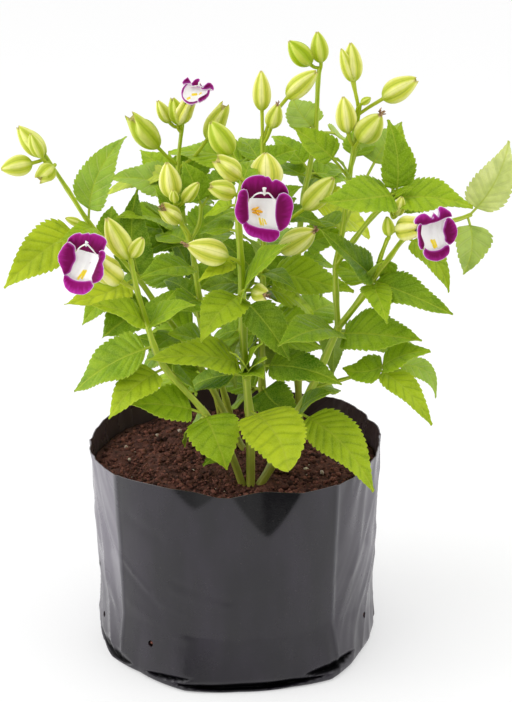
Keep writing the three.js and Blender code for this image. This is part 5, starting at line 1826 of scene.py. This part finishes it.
def scatter(pile, places, sizes):
    """Jittered crumbs, each sunk about halfway into the bed."""
    ball, faces = crumb_shape()
    for (x, y), size in zip(places, sizes):
        turn = rng.uniform(0, 2 * np.pi)
        jitter = ball * rng.uniform(0.65, 1.2, (len(ball), 1)) * [1, rng.uniform(0.6, 1), 0.75]
        spun = jitter @ np.array([
            [math.cos(turn), math.sin(turn), 0],
            [-math.sin(turn), math.cos(turn), 0],
            [0, 0, 1],
        ])
        centre = [x, y, soil_level(x, y) + size * rng.uniform(0.0, 0.5)]
        pile.add(spun * size + centre, faces, tone=rng.uniform(0, 1))


def random_places(count, reach):
    radius = reach * np.sqrt(rng.uniform(0, 1, count))
    angle = rng.uniform(0, 2 * np.pi, count)
    return np.stack([radius * np.cos(angle), radius * np.sin(angle)], 1)


def place_on_soil(u, v):
    """Where the bed shows at a pixel of the photograph."""
    depth = 0.0
    for _ in range(6):
        point = seen(u, v, depth)
        depth += (point[2] - soil_level(point[0], point[1])) / math.tan(PITCH)
    return seen(u, v, depth)[:2]


def plug_drains(pile):
    """A crumb of the mix that shows in each drain hole."""
    ball, faces = crumb_shape()
    for degrees, level in DRAINS:
        height = np.array([float(level)])
        reach = film_radius([degrees], height) - FILM - PLUG_RADIUS
        centre = cylinder_points(reach, np.radians([degrees]), height)
        jitter = ball * PLUG_RADIUS * rng.uniform(0.8, 1.1, (len(ball), 1))
        pile.add(jitter + centre, faces, tone=0.9)


def make_crumbs(finishes):
    crumbs = Pile()
    sizes = np.minimum(rng.gamma(2.0, 0.26, CRUMBS) + 0.35, 2.1)
    scatter(crumbs, random_places(CRUMBS, BAG_RADIUS - 5), sizes)
    plug_drains(crumbs)
    crumbs.mesh_object("potting_mix_crumbs", finishes["soil"], sharp=180)
    white = Pile()
    places = [place_on_soil(u, v) for u, v in PERLITE_SEEN]
    scatter(white, places, np.full(len(places), 1.5))
    scatter(white, random_places(PERLITE, BAG_RADIUS - 6), rng.uniform(0.4, 0.8, PERLITE))
    white.mesh_object("potting_mix_perlite", finishes["perlite"], sharp=180)


# The stage

FLOOR_REACH = 7
FLOOR_SUNK = 0.0001
AIM = Vector((0, 0, 0.18))
LIGHTS = [
    {"name": "key", "at": (-0.9, -0.5, 1.2), "size": 1.4, "power": 5.5},
    {"name": "left_wall", "at": (-1.3, 0.0, 0.3), "size": 0.9, "power": 6.5},
    {"name": "fill", "at": (0.9, -0.2, 0.9), "size": 0.9, "power": 2},
]


def make_floor():
    mesh = bpy.data.meshes.new("studio_floor")
    corners = [(-1, -1), (1, -1), (1, 1), (-1, 1)]
    points = [(x * FLOOR_REACH, y * FLOOR_REACH, -FLOOR_SUNK) for x, y in corners]
    mesh.from_pydata(points, [], [(0, 1, 2, 3)])
    f = Finish("studio_floor", Roughness=0.9, Emission_Strength=0.4, Emission_Color=(1, 1, 1, 1))
    f.drive("Base Color", (200, 200, 200))
    mesh.materials.append(f.material)
    floor = placed("studio_floor", mesh)


def make_lights():
    for light in LIGHTS:
        data = bpy.data.lights.new(light["name"], "AREA")
        data.size = light["size"]
        data.energy = light["power"]
        lamp = placed(light["name"], data)
        lamp.location = light["at"]
        lamp.rotation_euler = (AIM - lamp.location).to_track_quat("-Z", "Y").to_euler()


def make_world():
    """A bright studio that is dim behind the viewer, so that the film has something dark to mirror."""
    world = bpy.data.worlds.new("studio")
    bpy.context.scene.world = world
    world.use_nodes = True
    w = Nodes(world.node_tree)
    way = w.node("SeparateXYZ", w.place("Generated")).outputs
    dim = w.times(w.fade(way["Y"], -0.5, -0.8), w.fade(way["Z"], 0.65, 0.4))
    background = w.tree.nodes["Background"].inputs
    w.plug(background["Strength"], w.math("SUBTRACT", 1, w.times(dim, 0.8)))
    w.plug(background["Color"], (255, 255, 255))


def make_camera():
    data = bpy.data.cameras.new("photo_camera")
    data.sensor_width = SENSOR
    data.lens = FOCAL_PIXELS * SENSOR / PHOTO_HEIGHT
    data.clip_end = 50
    camera = placed("photo_camera", data)
    camera.location = (EYE / 1000).tolist()
    camera.rotation_euler = (math.pi / 2 - PITCH, 0, 0)
    bpy.context.scene.camera = camera


finishes = {
    "leaf": leaf_finish(),
    "stalk": stalk_finish(),
    "calyx": calyx_finish(),
    "petal": petal_finish(),
    "throat": throat_finish(),
    "stamen": stamen_finish(),
    "pollen": pollen_finish(),
    "soil": soil_finish(),
    "perlite": perlite_finish(),
}
for name in dict.fromkeys(shape["stem"] for shape in AXES):
    leafy_stem(name, finishes)
for bloom in BLOOMS:
    make_bloom(bloom, finishes)
make_soil(finishes["soil"])
make_crumbs(finishes)
make_bag(film_finish())
make_floor()
make_lights()
make_world()
make_camera()
bpy.context.scene.view_settings.view_transform = "Standard"
